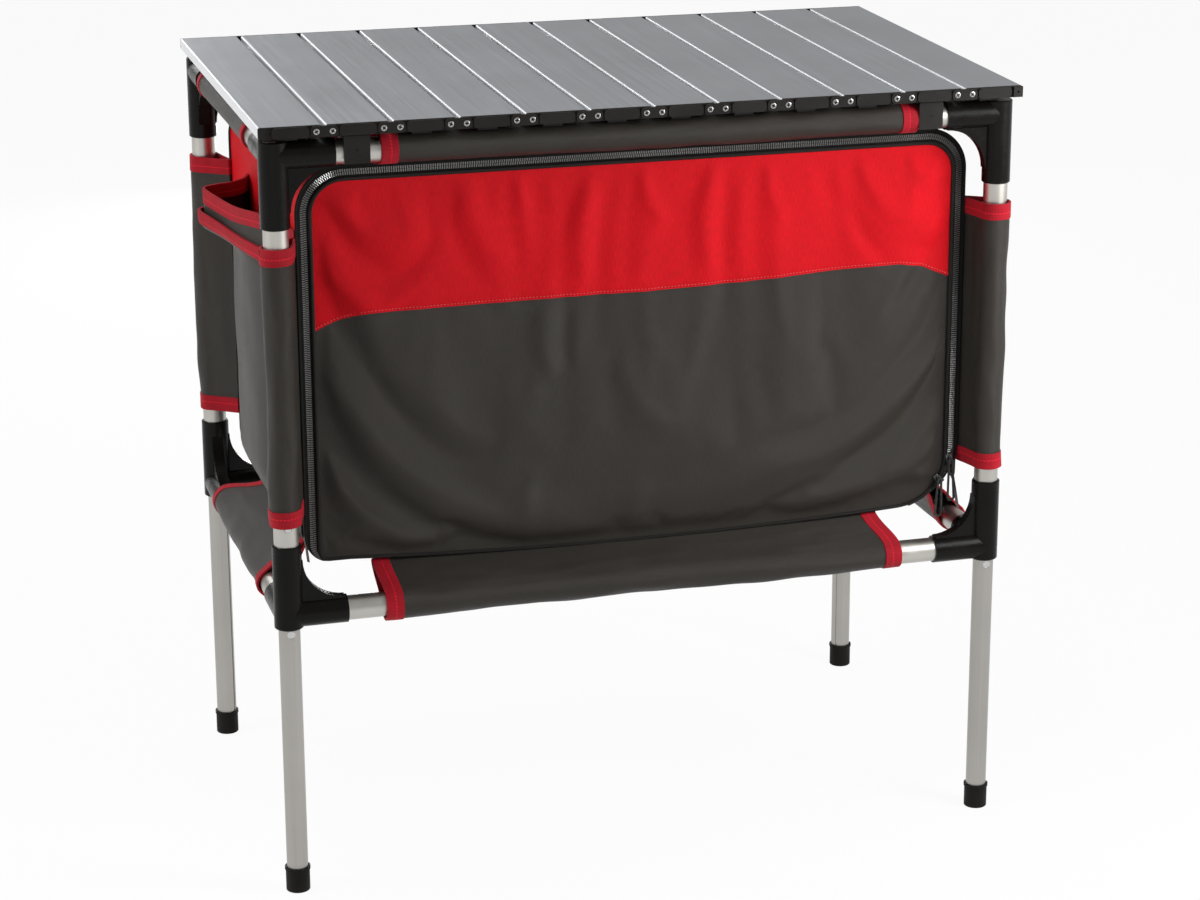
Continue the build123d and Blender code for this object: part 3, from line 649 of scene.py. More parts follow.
def cloth(
    name: str, columns: int, rows: int, place: Place, flat: tuple[float, float],
    thickness: float, material: bpy.types.Material, offset: float = 0.0,
) -> bpy.types.Object:
    """Sheet of cloth with a thickness.

    Args:
        name: Name of the piece.
        columns: Faces across.
        rows: Faces up.
        place: Point in space for a pair of shares from 0 to 1.
        flat: Size that the cloth was cut to.
        thickness: Thickness in metres.
        material: Its finish.
        offset: Where the thickness goes: -1 under the surface, 1 over it, 0 both.

    Returns:
        The finished sheet.
    """
    piece = grid(name, columns, rows, place, flat)
    apply_modifier(piece, "SOLIDIFY", thickness=thickness, offset=offset, use_even_offset=True)
    smooth(piece)
    return finish_with(piece, material)


def tube_along(
    name: str, points: Sequence[Vector], radius: float, material: bpy.types.Material, closed: bool = False
) -> bpy.types.Object:
    """Round tube along a line of points, as a mesh.

    Args:
        name: Name of the piece.
        points: Points of its centre line.
        radius: Radius of the tube.
        material: Its finish.
        closed: Whether the line closes on itself.

    Returns:
        The tube.
    """
    clear_selection()
    curve = bpy.data.curves.new(name, "CURVE")
    curve.dimensions = "3D"
    curve.bevel_depth = radius
    curve.bevel_resolution = 2
    curve.use_fill_caps = True
    spline = curve.splines.new("POLY")
    spline.points.add(len(points) - 1)
    for spot, point in zip(spline.points, points):
        spot.co = (*point, 1.0)
    spline.use_cyclic_u = closed
    piece = bpy.data.objects.new(name, curve)
    bpy.context.scene.collection.objects.link(piece)
    pick(piece)
    bpy.ops.object.convert(target="MESH")
    piece = bpy.context.object
    smooth(piece)
    return finish_with(piece, material)


def ripple(point: Vector, size: float, seed: float = 0.0) -> float:
    """Smooth noise from -1 to 1 with features of about size metres."""
    return noise.noise(point / size + Vector((seed, seed * 0.7, -seed)))


def waves(point: Vector, table: Iterable[tuple[float, float, float]]) -> float:
    """Sum of ripples at a point, from a table of their heights, sizes and seeds."""
    return sum(height * ripple(point, size, seed) for height, size, seed in table)


def ease(share: float) -> float:
    """Smooth step from 0 to 1, clamped."""
    share = min(1.0, max(0.0, share))
    return share * share * (3.0 - 2.0 * share)


def between(stations: Sequence[Sequence[float]], share: float) -> Vector:
    """Point on a smooth line through stations, spread evenly by their order.

    Args:
        stations: Points with the same number of coordinates, two or three.
        share: Place along the line from 0 to 1.

    Returns:
        The point.
    """
    spot = min(max(share, 0.0), 1.0) * (len(stations) - 1)
    index = min(int(spot), len(stations) - 2)
    t = spot - index
    a, b, c, d = (
        Vector(stations[min(max(index + k, 0), len(stations) - 1)]) for k in (-1, 0, 1, 2)
    )
    square, cube = (2 * a - 5 * b + 4 * c - d) * t * t, (3 * b - a - 3 * c + d) * t ** 3
    return 0.5 * ((2 * b) + (c - a) * t + square + cube)


@dataclass(frozen=True)
class Outline:
    """Rounded front outline of the compartment, walked clockwise from its lower left."""

    half_width: float
    low: float
    high: float
    rounds: tuple[float, float, float, float]

    def inset(self, by: float) -> "Outline":
        """The same outline drawn further in, except along its bottom."""
        rounds = tuple(r - by for r in self.rounds)
        return Outline(self.half_width - by, self.low, self.high - by, rounds)

    def runs(self) -> list[tuple[float, Vector, Vector, float]]:
        """Runs of the outline as length, start or centre, direction and radius, 0 for a line.

        Returns:
            The eight runs, round and straight in turn.
        """
        left, right = -self.half_width, self.half_width
        r0, r1, r2, r3 = self.rounds
        low, high = self.low, self.high
        quarter = math.pi / 2
        return [
            (r0 * quarter, Vector((left + r0, low + r0)), Vector((1.5, 0)), r0),
            (high - r1 - low - r0, Vector((left, low + r0)), Vector((0, 1)), 0.0),
            (r1 * quarter, Vector((left + r1, high - r1)), Vector((1.0, 0)), r1),
            (right - r2 - left - r1, Vector((left + r1, high)), Vector((1, 0)), 0.0),
            (r2 * quarter, Vector((right - r2, high - r2)), Vector((0.5, 0)), r2),
            (high - r2 - low - r3, Vector((right, high - r2)), Vector((0, -1)), 0.0),
            (r3 * quarter, Vector((right - r3, low + r3)), Vector((0.0, 0)), r3),
            (right - r3 - left - r0, Vector((right - r3, low)), Vector((-1, 0)), 0.0),
        ]

    def length(self) -> float:
        """Whole length of the outline."""
        return sum(run[0] for run in self.runs())

    def at(self, distance: float) -> tuple[Vector, Vector]:
        """Point and outward normal at a distance along the outline.

        Args:
            distance: Metres from the lower left.

        Returns:
            The point and the normal, in X and Z.
        """
        distance %= self.length()
        for length, start, way, radius in self.runs():
            if distance <= length:
                if radius:
                    turn = way.x * math.pi - distance / radius
                    normal = Vector((math.cos(turn), math.sin(turn)))
                    return start + normal * radius, normal
                return start + way * distance, Vector((-way.y, way.x))
            distance -= length
        return self.at(0.0)

    def span(self, x: float) -> tuple[float, float]:
        """Lowest and highest Z of the outline at an X.

        Args:
            x: Place across.

        Returns:
            The lowest and the highest Z.
        """
        low, high = self.low, self.high
        ends = (
            (x + self.half_width, self.rounds[0], self.rounds[1]),
            (self.half_width - x, self.rounds[3], self.rounds[2]),
        )
        for edge, lower, upper in ends:
            edge = max(edge, 0.0)
            if edge < lower:
                low = self.low + lower - math.sqrt(max(lower ** 2 - (lower - edge) ** 2, 0.0))
            if edge < upper:
                high = self.high - upper + math.sqrt(max(upper ** 2 - (upper - edge) ** 2, 0.0))
        return low, high


@dataclass(frozen=True)
class Layout:
    """Places that the fabric follows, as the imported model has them."""

    post_x: float = 0.3805
    post_y: float = 0.225
    tube_radius: float = 0.0127
    top_rail: float = 0.783
    lower_rail: float = 0.307
    front: float = -0.1977
    back: float = 0.195
    shell: Outline = Outline(0.355, 0.351, 0.765, (0.025, 0.050, 0.045, 0.070))
    zip: Outline = Outline(0.357, 0.3513, 0.765, (0.025, 0.050, 0.045, 0.070))
    colour_line: float = 0.600

    def sag(self, x: float) -> float:
        """How far the compartment's bottom hangs below its ends at an X."""
        return 0.0095 * max(0.0, 1.0 - (x / 0.31) ** 2)


@dataclass
class Studio:
    """Camera, floor, world and soft lamps."""

    place: tuple[float, float, float] = (-0.90815, -3.32231, 1.47070)
    azimuth: float = -17.6827
    elevation: float = 17.5795
    roll: float = 0.4191
    lens: float = 97.686
    sensor: float = 36.0
    shift: float = -0.1
    farthest: float = 30.0
    floor_side: float = 24.0
    floor_drop: float = 0.0005
    white: float = 1.0
    ambient: float = 0.16
    mirrored: float = 0.44
    floor_grey: float = 0.90
    floor_white: float = 0.94
    aim: tuple[float, float, float] = (0.0, 0.0, 0.5)
    lamps: tuple = (
        ("key_softbox", (1.0, -0.92, 1.0), 0.5, 15.5),
        ("front_softbox", (-1.2, -3.4, 1.0), 1.2, 3.5),
        ("side_softbox", (-3.0, -0.5, 1.7), 1.2, 40.0),
        ("top_softbox", (-0.8, 0.4, 3.2), 1.8, 30.0),
        ("rear_softbox", (-0.68, 2.8, 1.45), 1.1, 11.0),
        ("back_softbox", (0.5, 3.0, 0.35), 0.7, 24.0),
    )

    def camera(self) -> None:
        """Stand the camera where the photograph was taken from."""
        a, e, r = (math.radians(v) for v in (self.azimuth, self.elevation, self.roll))
        back = Vector((math.sin(a) * math.cos(e), -math.cos(a) * math.cos(e), math.sin(e)))
        right = (-back).cross(Vector((0, 0, 1))).normalized()
        up = right.cross(-back)
        right, up = right * math.cos(r) + up * math.sin(r), up * math.cos(r) - right * math.sin(r)
        clear_selection()
        bpy.ops.object.camera_add(location=self.place)
        camera = bpy.context.object
        camera.name = "photo_camera"
        turn = Matrix((right, up, back)).transposed()
        camera.rotation_euler = turn.to_euler()
        camera.data.lens = self.lens
        camera.data.sensor_width = self.sensor
        camera.data.shift_x = self.shift
        camera.data.clip_end = self.farthest
        bpy.context.scene.camera = camera

    def floor(self) -> None:
        """Lay the pale floor, which camera and mirror rays see nearly white."""
        clear_selection()
        bpy.ops.mesh.primitive_plane_add(size=self.floor_side, location=(0, 0, -self.floor_drop))
        floor = bpy.context.object
        floor.name = "studio_floor"
        settle(floor)
        s = Shader("pale_floor")
        s.paint(Base_Color=(self.floor_grey,) * 3, Roughness=0.9)
        path = s.node("ShaderNodeLightPath").outputs
        seen = s.math("MAXIMUM", path["Is Camera Ray"], path["Is Glossy Ray"])
        glow = s.node("ShaderNodeEmission", {"Color": (1.0,) * 4, "Strength": self.white})
        share = s.math("MULTIPLY", seen, self.floor_white)
        blend = s.node("ShaderNodeMixShader", {0: share, 1: s.surface.outputs[0], 2: glow.outputs[0]})
        s.tree.links.new(blend.outputs[0], s.first("OUTPUT_MATERIAL").inputs[0])
        finish_with(floor, s.material)
        floor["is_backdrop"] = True

    def world(self) -> None:
        """White surroundings for the camera, softer light for the object."""
        world = bpy.data.worlds.new("studio_world")
        world.use_nodes = True
        bpy.context.scene.world = world
        nodes = Nodes(world.node_tree)
        light = nodes.first("BACKGROUND")
        light.inputs["Color"].default_value = (1.0, 1.0, 1.0, 1.0)
        path = nodes.node("ShaderNodeLightPath").outputs
        seen = nodes.math("MAXIMUM", path["Is Camera Ray"], self.ambient)
        glossy = nodes.math("MULTIPLY", path["Is Glossy Ray"], self.mirrored)
        nodes.tree.links.new(nodes.math("MAXIMUM", glossy, seen), light.inputs["Strength"])

    def lamp(self, name: str, place: Sequence[float], size: float, power: float) -> None:
        """Hang a soft square lamp that points at the table.

        Args:
            name: Name of the lamp.
            place: Where it hangs.
            size: Side of its square.
            power: Power in watts.
        """
        clear_selection()
        bpy.ops.object.light_add(type="AREA", location=place)
        lamp = bpy.context.object
        lamp.name = name
        lamp.data.size = size
        lamp.data.energy = power
        lamp.rotation_euler = (Vector(place) - Vector(self.aim)).to_track_quat("Z", "Y").to_euler()

    def build(self) -> None:
        """Set up the whole studio."""
        bpy.context.scene.view_settings.view_transform = "Standard"
        self.camera()
        self.floor()
        self.world()
        for lamp in self.lamps:
            self.lamp(*lamp)


@dataclass
class HardFrame:
    """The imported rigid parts, and the screws in the links' pivots."""

    layout: Layout
    finishes: Finishes
    head_radius: float = 0.0031
    head_height: float = 0.0012
    head_round: float = 0.00045
    pivot_z: float = 0.809
    pivot_gap: float = 0.016
    first_edge: float = -0.4
    pitch: float = 0.8 / 12
    seams: int = 11
    end_face: float = 0.2491
    recess: tuple[float, float, float] = (0.0040, 0.0017, 0.0013)
    recess_reach: float = 0.0022
    screw_turn: float = 1.1
    stow_hole: float = 0.0038
    stow_height: float = 0.287
    stow_depth: float = 0.0103
    stow_dish: float = 0.35
    stow_sheet: float = 0.0004

    def dress(self) -> None:
        """Give every kept node its finish."""
        f = self.finishes
        kinds = {
            "slat_caps": f.link_plastic, "slat_": f.slat, "links": f.link_plastic,
            "upper_posts": f.tube, "top_rails": f.tube, "lower_rails": f.tube,
            "top_connectors": f.black_plastic, "lower_connectors": f.black_plastic,
            "lower_leg": f.leg, "leg_foot": f.rubber, "snap_button": f.steel,
        }
        for name, node in frame["nodes"].items():
            for start, material in kinds.items():
                if name.startswith(start):
                    finish_with(node, material)
                    break

    def screw(self) -> bpy.types.Object:
        """Model one pan-head screw with a cross recess, facing the front at the origin.

        Returns:
            The screw.
        """
        clear_selection()
        half = self.head_height / 2
        bpy.ops.mesh.primitive_cylinder_add(
            vertices=20, radius=self.head_radius, depth=self.head_height,
            location=(0, -half, 0), rotation=(math.pi / 2, 0, 0),
        )
        head = bpy.context.object
        settle(head)
        apply_modifier(head, "BEVEL", width=self.head_round, segments=2, limit_method="ANGLE")
        length, depth, width = self.recess
        for size in ((length, depth, width), (width, depth, length)):
            clear_selection()
            bpy.ops.mesh.primitive_cube_add(size=1.0, location=(0, -self.head_height, 0))
            bar = bpy.context.object
            bar.scale = size
            settle(bar)
            apply_modifier(head, "BOOLEAN", object=bar, operation="DIFFERENCE", solver="EXACT")
            bpy.data.objects.remove(bar)
        smooth(head, 35.0)
        finish_with(head, self.finishes.screw, self.finishes.black_plastic)
        # Faces in the cross recess take the black plastic: painted shade in the recess of the zinc head.
        for face in head.data.polygons:
            x, y, z = face.center
            sunk = y > 0.0002 - self.head_height
            face.material_index = int(sunk and math.hypot(x, z) < self.recess_reach)
        return head

    def facing(self, end: End, x: float, y: float, z: float) -> Matrix:
        """Place of a piece that faces out on the table's front or rear side."""
        face = Matrix.Rotation(0.0 if end is End.FRONT else math.pi, 4, "Z")
        return Matrix.Translation((x, end.value * y, z)) @ face

    def screws(self) -> None:
        """Set a screw in each pivot of each link, riding on the link."""
        model = self.screw()
        pivots = itertools.product(range(1, self.seams + 1), End, ((-1, "near"), (1, "far")))
        for turn, (seam, end, (half, where)) in enumerate(pivots, 1):
            x = self.first_edge + self.pitch * seam + half * self.pivot_gap / 2
            spin = Matrix.Rotation(turn * self.screw_turn, 4, "Y")
            name = f"pivot_screw_{seam:02d}_{where}_{end.name.lower()}"
            copy = twin(model, name, self.facing(end, x, self.end_face, self.pivot_z) @ spin)
            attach(copy, f"link_body_{seam:02d}")
        bpy.data.objects.remove(model)

    def stow_plugs(self) -> None:
        """Close each leg's upper hole with a shallow pressed cup, riding on the leg."""
        clear_selection()
        bpy.ops.mesh.primitive_uv_sphere_add(segments=24, ring_count=12, radius=self.stow_hole)
        cup = bpy.context.object
        for vertex in cup.data.vertices:
            vertex.co.y = max(vertex.co.y, 0.0) * self.stow_dish
        settle(cup)
        apply_modifier(cup, "SOLIDIFY", thickness=self.stow_sheet, offset=1.0)
        smooth(cup)
        finish_with(cup, self.finishes.steel)
        y = self.layout.post_y + self.stow_depth
        for side, end in itertools.product(Side, End):
            corner = f"{end.name.lower()}_{side.name.lower()}"
            place = self.facing(end, side.value * self.layout.post_x, y, self.stow_height)
            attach(twin(cup, f"stow_cup_{corner}", place), f"leg_{corner}")
        bpy.data.objects.remove(cup)

    def build(self) -> None:
        """Dress the frame and add the screws and the cups in the stow holes."""
        self.dress()
        self.screws()
        self.stow_plugs()
        log.info("hard frame dressed")


@dataclass
class Sleeve:
    """Fabric sleeve round one tube, its two plies sewn to the compartment's edge."""

    name: str
    along: Along
    axis: tuple[float, float]
    sewn: tuple[float, float]
    at_tube: tuple[float, float]
    at_seam: tuple[float, float]
    finishes: Finishes
    slack: float
    bound: float = 0.0165
    tube_radius: float = 0.0127
    gap: float = 0.0004
    thick: float = 0.0011
    tape: float = 0.0013
    overhang: float = 0.0008
    columns: int = 56
    looseness: float = 0.55
    drawn_out: float = 0.28
    drawn_waves: tuple = ((0.9, 0.028, 3.0), (0.45, 0.011, 8.0))
    waves: tuple = ((0.5, 0.040, 5.0),)

    def profile(self, share: float, clear: float) -> tuple[Vector, Vector, float]:
        """Point of the wrap across the tube.

        Args:
            share: From 0 at the seam, round the tube, back to 1 at the seam.
            clear: Distance of the cloth from the tube.

        Returns:
            The point, its outward normal, and how near the tube it is, from 0 to 1.
        """
        centre, seam = Vector(self.axis), Vector(self.sewn)
        away = seam - centre
        radius = self.tube_radius + clear
        reach = math.sqrt(max(away.length_squared - radius ** 2, 1e-9))
        beta = math.acos(min(1.0, radius / away.length))
        arc = math.tau - 2 * beta
        total = 2 * reach + arc * radius
        distance = share * total
        towards = math.atan2(away.y, away.x)
        if distance < reach or distance > total - reach:
            way = 1 if distance < reach else -1
            turn = towards + way * beta
            normal = Vector((math.cos(turn), math.sin(turn)))
            tangent = centre + normal * radius
            part = distance / reach if way > 0 else (total - distance) / reach
            start = seam + normal * (0.0006 + clear * 0.3)
            return start.lerp(tangent, part), normal, part
        turn = towards + beta + (distance - reach) / radius
        normal = Vector((math.cos(turn), math.sin(turn)))
        return centre + normal * radius, normal, 1.0

    def width(self) -> float:
        """Length of cloth round the tube and back.

        Returns:
            The length in metres.
        """
        away = Vector(self.sewn) - Vector(self.axis)
        radius = self.tube_radius + self.gap
        beta = math.acos(radius / away.length)
        return 2 * math.sqrt(away.length_squared - radius ** 2) + (math.tau - 2 * beta) * radius

    def spot(self, share: float, run: float, clear: float) -> Vector:
        """Point in space of the sleeve.

        Args:
            share: Share round the wrap.
            run: Place along the tube.
            clear: Distance of the cloth from the tube.

        Returns:
            The point.
        """
        point, normal, _ = self.profile(share, clear)
        across = self.along.value
        along = 3 - sum(across)
        at = Vector((0.0, 0.0, 0.0))
        at[along] = run
        at[across[0]], at[across[1]] = point
        drawn = at.copy()
        drawn[along] *= self.drawn_out
        loose = self.looseness + waves(drawn, self.drawn_waves) + waves(at, self.waves)
        lift = max(0.0, self.slack * loose * math.sin(math.pi * share))
        at[across[0]] += normal.x * lift
        at[across[1]] += normal.y * lift
        return at

    def ends(self, share: float, clear: float) -> tuple[float, float]:
        """Where the cloth starts and stops along the tube at a share of the wrap."""
        blend = ease(self.profile(share, clear)[2])
        return tuple(a + (b - a) * blend for a, b in zip(self.at_seam, self.at_tube))

    def cover(self, clear: float) -> Place:
        """Placing function for the whole sleeve, at a distance from the tube.

        Args:
            clear: Distance of the cloth from the tube.

        Returns:
            Function from two shares to a point.
        """
        def spot(u: float, v: float) -> Vector:
            start, stop = self.ends(u, clear)
            return self.spot(u, start + (stop - start) * v, clear)

        return spot

    def trim(self, end: int, low: float, high: float, clear: float) -> Place:
        """Placing function for a binding.

        Args:
            end: 0 at the start of the sleeve, 1 at its stop.
            low: Where the tape begins, measured along the tube from that end.
            high: Where it ends.
            clear: Distance of the cloth from the tube.

        Returns:
            Function from two shares to a point.
        """
        def spot(u: float, v: float) -> Vector:
            return self.spot(u, self.ends(u, clear)[end] + low + (high - low) * v, clear + 0.0003)

        return spot

    def build(self) -> bpy.types.Object:
        """Make the sleeve and the bindings at both its ends.

        Returns:
            The sleeve.
        """
        mid = self.gap + self.thick / 2
        length = (self.at_tube[1] - self.at_tube[0] + self.at_seam[1] - self.at_seam[0]) / 2
        flat = (self.width(), length)
        rows = max(12, int(length / 0.007))
        sleeve = cloth(
            self.name, self.columns, rows, self.cover(mid), flat, self.thick, self.finishes.grey_cloth
        )
        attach(sleeve, "frame")
        trims = []
        ends = (("start", 0, -self.overhang, self.bound), ("end", 1, -self.bound, self.overhang))
        for label, end, low, high in ends:
            tape = cloth(
                f"{self.name}_{label}_binding", self.columns, 5, self.trim(end, low, high, mid),
                (self.width(), self.bound), self.thick + self.tape, self.finishes.binding,
            )
            apply_modifier(tape, "BEVEL", width=0.0004, segments=2, limit_method="ANGLE")
            smooth(tape)
            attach(tape, "frame")
            trims.append(tape)
        self.straighten(trims[1])
        return sleeve

    def straighten(self, tape: bpy.types.Object) -> None:
        """Measure a far binding's UV from its own folded edge."""
        for corner in tape.data.uv_layers.active.data:
            corner.uv = (corner.uv[0], self.bound - corner.uv[1])


@dataclass
class SleeveSet:
    """All twelve sleeves of the organizer.

    A seam lies across from its tube at an X, a Z or a distance inside the compartment's front or
    rear edge. A run is where the cloth starts and stops along the tube, there or at its seam.
    """

    layout: Layout
    finishes: Finishes
    post_seam: tuple[float, float] = (0.3575, 0.0035)
    post_run: tuple[float, float] = (0.398, 0.688)
    first_post_run: tuple[float, float] = (0.4035, 0.6905)
    top_seams: tuple[float, float, float] = (0.003, 0.002, 0.7665)
    top_run: tuple[float, float] = (-0.2745, 0.2865)
    top_seam_run: tuple[float, float] = (-0.285, 0.292)
    top_end_seam: tuple[float, float] = (0.3558, 0.7605)
    top_end_run: tuple[float, float] = (-0.132, 0.148)
    top_end_seam_run: tuple[float, float] = (-0.145, 0.160)
    lower_seams: tuple[float, float, float] = (0.0035, 0.003, 0.3455)
    lower_run: tuple[float, float] = (-0.281, 0.280)
    lower_seam_run: tuple[float, float] = (-0.287, 0.264)
    lower_left_seam: tuple[float, float] = (-0.3475, 0.3575)
    lower_right_seam: tuple[float, float] = (0.3345, 0.3705)
    lower_end_run: tuple[float, float] = (-0.130, 0.158)
    lower_end_seam_run: tuple[float, float] = (-0.150, 0.070)
    loose_end: tuple = ((-0.3972, -0.2268, 0.690), (-0.3962, -0.2274, 0.676), (-0.3946, -0.2270, 0.6615))
    loose_radius: float = 0.0011

    def posts(self) -> Iterable[Sleeve]:
        """Sleeves round the four posts.

        Returns:
            The sleeves.
        """
        plan = self.layout
        for side, end in itertools.product(Side, End):
            edge = plan.front if end is End.FRONT else plan.back
            first = (side, end) == (Side.LEFT, End.FRONT)
            heights = self.first_post_run if first else self.post_run
            seam_x, inside = self.post_seam
            yield Sleeve(
                f"post_sleeve_{end.name.lower()}_{side.name.lower()}", Along.Z,
                (side.value * plan.post_x, end.value * plan.post_y),
                (side.value * seam_x, edge - end.value * inside),
                heights, heights, self.finishes, slack=0.0026,
            )

    def top_rails(self) -> Iterable[Sleeve]:
        """Sleeves round the four upper rails.

        Returns:
            The sleeves.
        """
        plan = self.layout
        front, rear, height = self.top_seams
        for end in End:
            edge = plan.front + front if end is End.FRONT else plan.back - rear
            yield Sleeve(
                f"top_sleeve_{end.name.lower()}", Along.X, (end.value * plan.post_y, plan.top_rail),
                (edge, height), self.top_run, self.top_seam_run, self.finishes, slack=0.0018,
            )
        seam_x, height = self.top_end_seam
        for side in Side:
            yield Sleeve(
                f"top_sleeve_{side.name.lower()}", Along.Y, (side.value * plan.post_x, plan.top_rail),
                (side.value * seam_x, height), self.top_end_run, self.top_end_seam_run,
                self.finishes, slack=0.0010, bound=0.010,
            )

    def lower_rails(self) -> Iterable[Sleeve]:
        """Sleeves round the four lower rails, with the webs under the compartment.

        Returns:
            The sleeves.
        """
        plan = self.layout
        front, rear, height = self.lower_seams
        for end in End:
            edge = plan.front + front if end is End.FRONT else plan.back - rear
            yield Sleeve(
                f"lower_sleeve_{end.name.lower()}", Along.X, (end.value * plan.post_y, plan.lower_rail),
                (edge, height), self.lower_run, self.lower_seam_run,
                self.finishes, slack=0.0026, bound=0.0175,
            )
        for side in Side:
            seam = self.lower_left_seam if side is Side.LEFT else self.lower_right_seam
            yield Sleeve(
                f"lower_sleeve_{side.name.lower()}", Along.Y, (side.value * plan.post_x, plan.lower_rail),
                seam, self.lower_end_run, self.lower_end_seam_run,
                self.finishes, slack=0.0022, bound=0.011,
            )

    def build(self) -> None:
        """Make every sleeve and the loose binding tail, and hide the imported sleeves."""
        made = [s.build() for s in (*self.posts(), *self.top_rails(), *self.lower_rails())]
        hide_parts("organizer_sleeves")
        points = [Vector(point) for point in self.loose_end]
        tail = tube_along("binding_tail_front_left", points, self.loose_radius, self.finishes.binding)
        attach(tail, "frame")
        log.info("%d sleeves", len(made))


@dataclass
class Compartment:
    """Soft walls of the organizer: one band round its outline, and the rear panel."""

    layout: Layout
    finishes: Finishes
    thick: float = 0.0022
    columns: int = 320
    rows: int = 64
    side_fold: float = 0.080
    rear_sag: float = 0.55
    floor_line: float = 0.40
    piping: float = 0.0016
    fold_step: float = 0.0032
    roof_puff: float = 0.0006
    rear_slack: float = 0.005
    rear_thick: float = 0.0018
    waves: tuple = ((0.0022, 0.11, 2.0), (0.0008, 0.035, 5.0))
    front_waves: tuple = ((0.0012, 0.03, 9.0),)
    rear_waves: tuple = ((0.003, 0.14, 4.0), (0.001, 0.05, 6.0))

    def band(self) -> None:
        """Make the band of walls, red above the colour line and charcoal below."""
        plan = self.layout
        outline = plan.shell.inset(0.0012)
        total = outline.length()
        depth = plan.back - plan.front

        def spot(u: float, v: float) -> Vector:
            point, normal = outline.at(u * total)
            at = Vector((point.x, plan.front + depth * v, point.y))
            free = math.sin(math.pi * v) ** 0.5
            puff = waves(at, self.waves) * free + waves(at, self.front_waves) * math.exp(-v * 18.0)
            if abs(normal.x) > 0.6 and point.y > 0.50:
                fold = ease((self.side_fold - at.y) / 0.010) * ease((point.y - 0.50) / 0.12)
                puff += self.fold_step * fold * free
            if normal.y > 0.6:
                puff = min(puff, self.roof_puff)
            at += Vector((normal.x, 0.0, normal.y)) * puff
            if point.y < self.floor_line:
                at.z -= plan.sag(point.x) * (1.0 - (1.0 - self.rear_sag) * v) * max(0.0, -normal.y)
            return at

        band = grid("compartment_band", self.columns, self.rows, spot, (total, depth))
        edit(band, bpy.ops.mesh.remove_doubles, threshold=0.00001)
        self.two_tone(band, 0.0)
        apply_modifier(band, "SOLIDIFY", thickness=self.thick, offset=0.0)
        smooth(band)
        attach(band, "frame")
        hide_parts("organizer_shell")

    def two_tone(self, piece: bpy.types.Object, shift: float) -> None:
        """Paint a piece red above the colour line and charcoal below.

        Args:
            piece: Piece whose faces are sorted by their height.
            shift: How far above the colour line the change is.
        """
        finish_with(piece, self.finishes.red_cloth, self.finishes.grey_cloth)
        for face in piece.data.polygons:
            face.material_index = 0 if face.center.z > self.layout.colour_line + shift else 1

    def rear(self) -> None:
        """Make the rear panel, taut at its edge and softly slack in the middle."""
        plan = self.layout
        outline = plan.shell
        y = plan.back + 0.0015

        def spot(u: float, v: float) -> Vector:
            across = 0.7 * (2 * u - 1) - 0.3 * math.cos(math.pi * u)
            x = across * outline.half_width
            low, high = outline.span(x)
            low -= plan.sag(x) * self.rear_sag
            z = low + (high - low) * v
            at = Vector((x, y, z))
            free = math.sin(math.pi * v) * math.sin(math.pi * u)
            at.y += free * (self.rear_slack + waves(at, self.rear_waves))
            return at

        size = (2 * outline.half_width, outline.high - outline.low)
        panel = grid("compartment_rear", 110, 64, spot, size)
        edit(panel, bpy.ops.mesh.flip_normals)
        self.two_tone(panel, 0.014)
        apply_modifier(panel, "SOLIDIFY", thickness=self.rear_thick, offset=0.0)
        smooth(panel)
        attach(panel, "frame")

    def rear_piping(self) -> None:
        """Roll the piping along the band's rear edge."""
        outline = self.layout.shell.inset(-0.0006)
        count = 260
        points = []
        for index in range(count):
            point, normal = outline.at(outline.length() * index / count)
            hangs = max(0.0, -normal.y) if point.y < self.floor_line else 0.0
            drop = self.layout.sag(point.x) * hangs * self.rear_sag
            points.append(Vector((point.x, self.layout.back + 0.0012, point.y - drop)))
        rim = tube_along("compartment_rear_piping", points, self.piping, self.finishes.piping, closed=True)
        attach(rim, "frame")

    def build(self) -> None:
        """Make the compartment's walls."""
        self.band()
        self.rear()
        self.rear_piping()
        log.info("compartment sewn")


@dataclass(frozen=True)
class Layer:
    """One layer of a side pocket: how far it stands out, its upper edge, its ends and its flat size."""

    name: str
    proud: float
    top: Callable[[float], float]
    start: float
    stop: float
    flat: tuple[float, float]
    tape: float


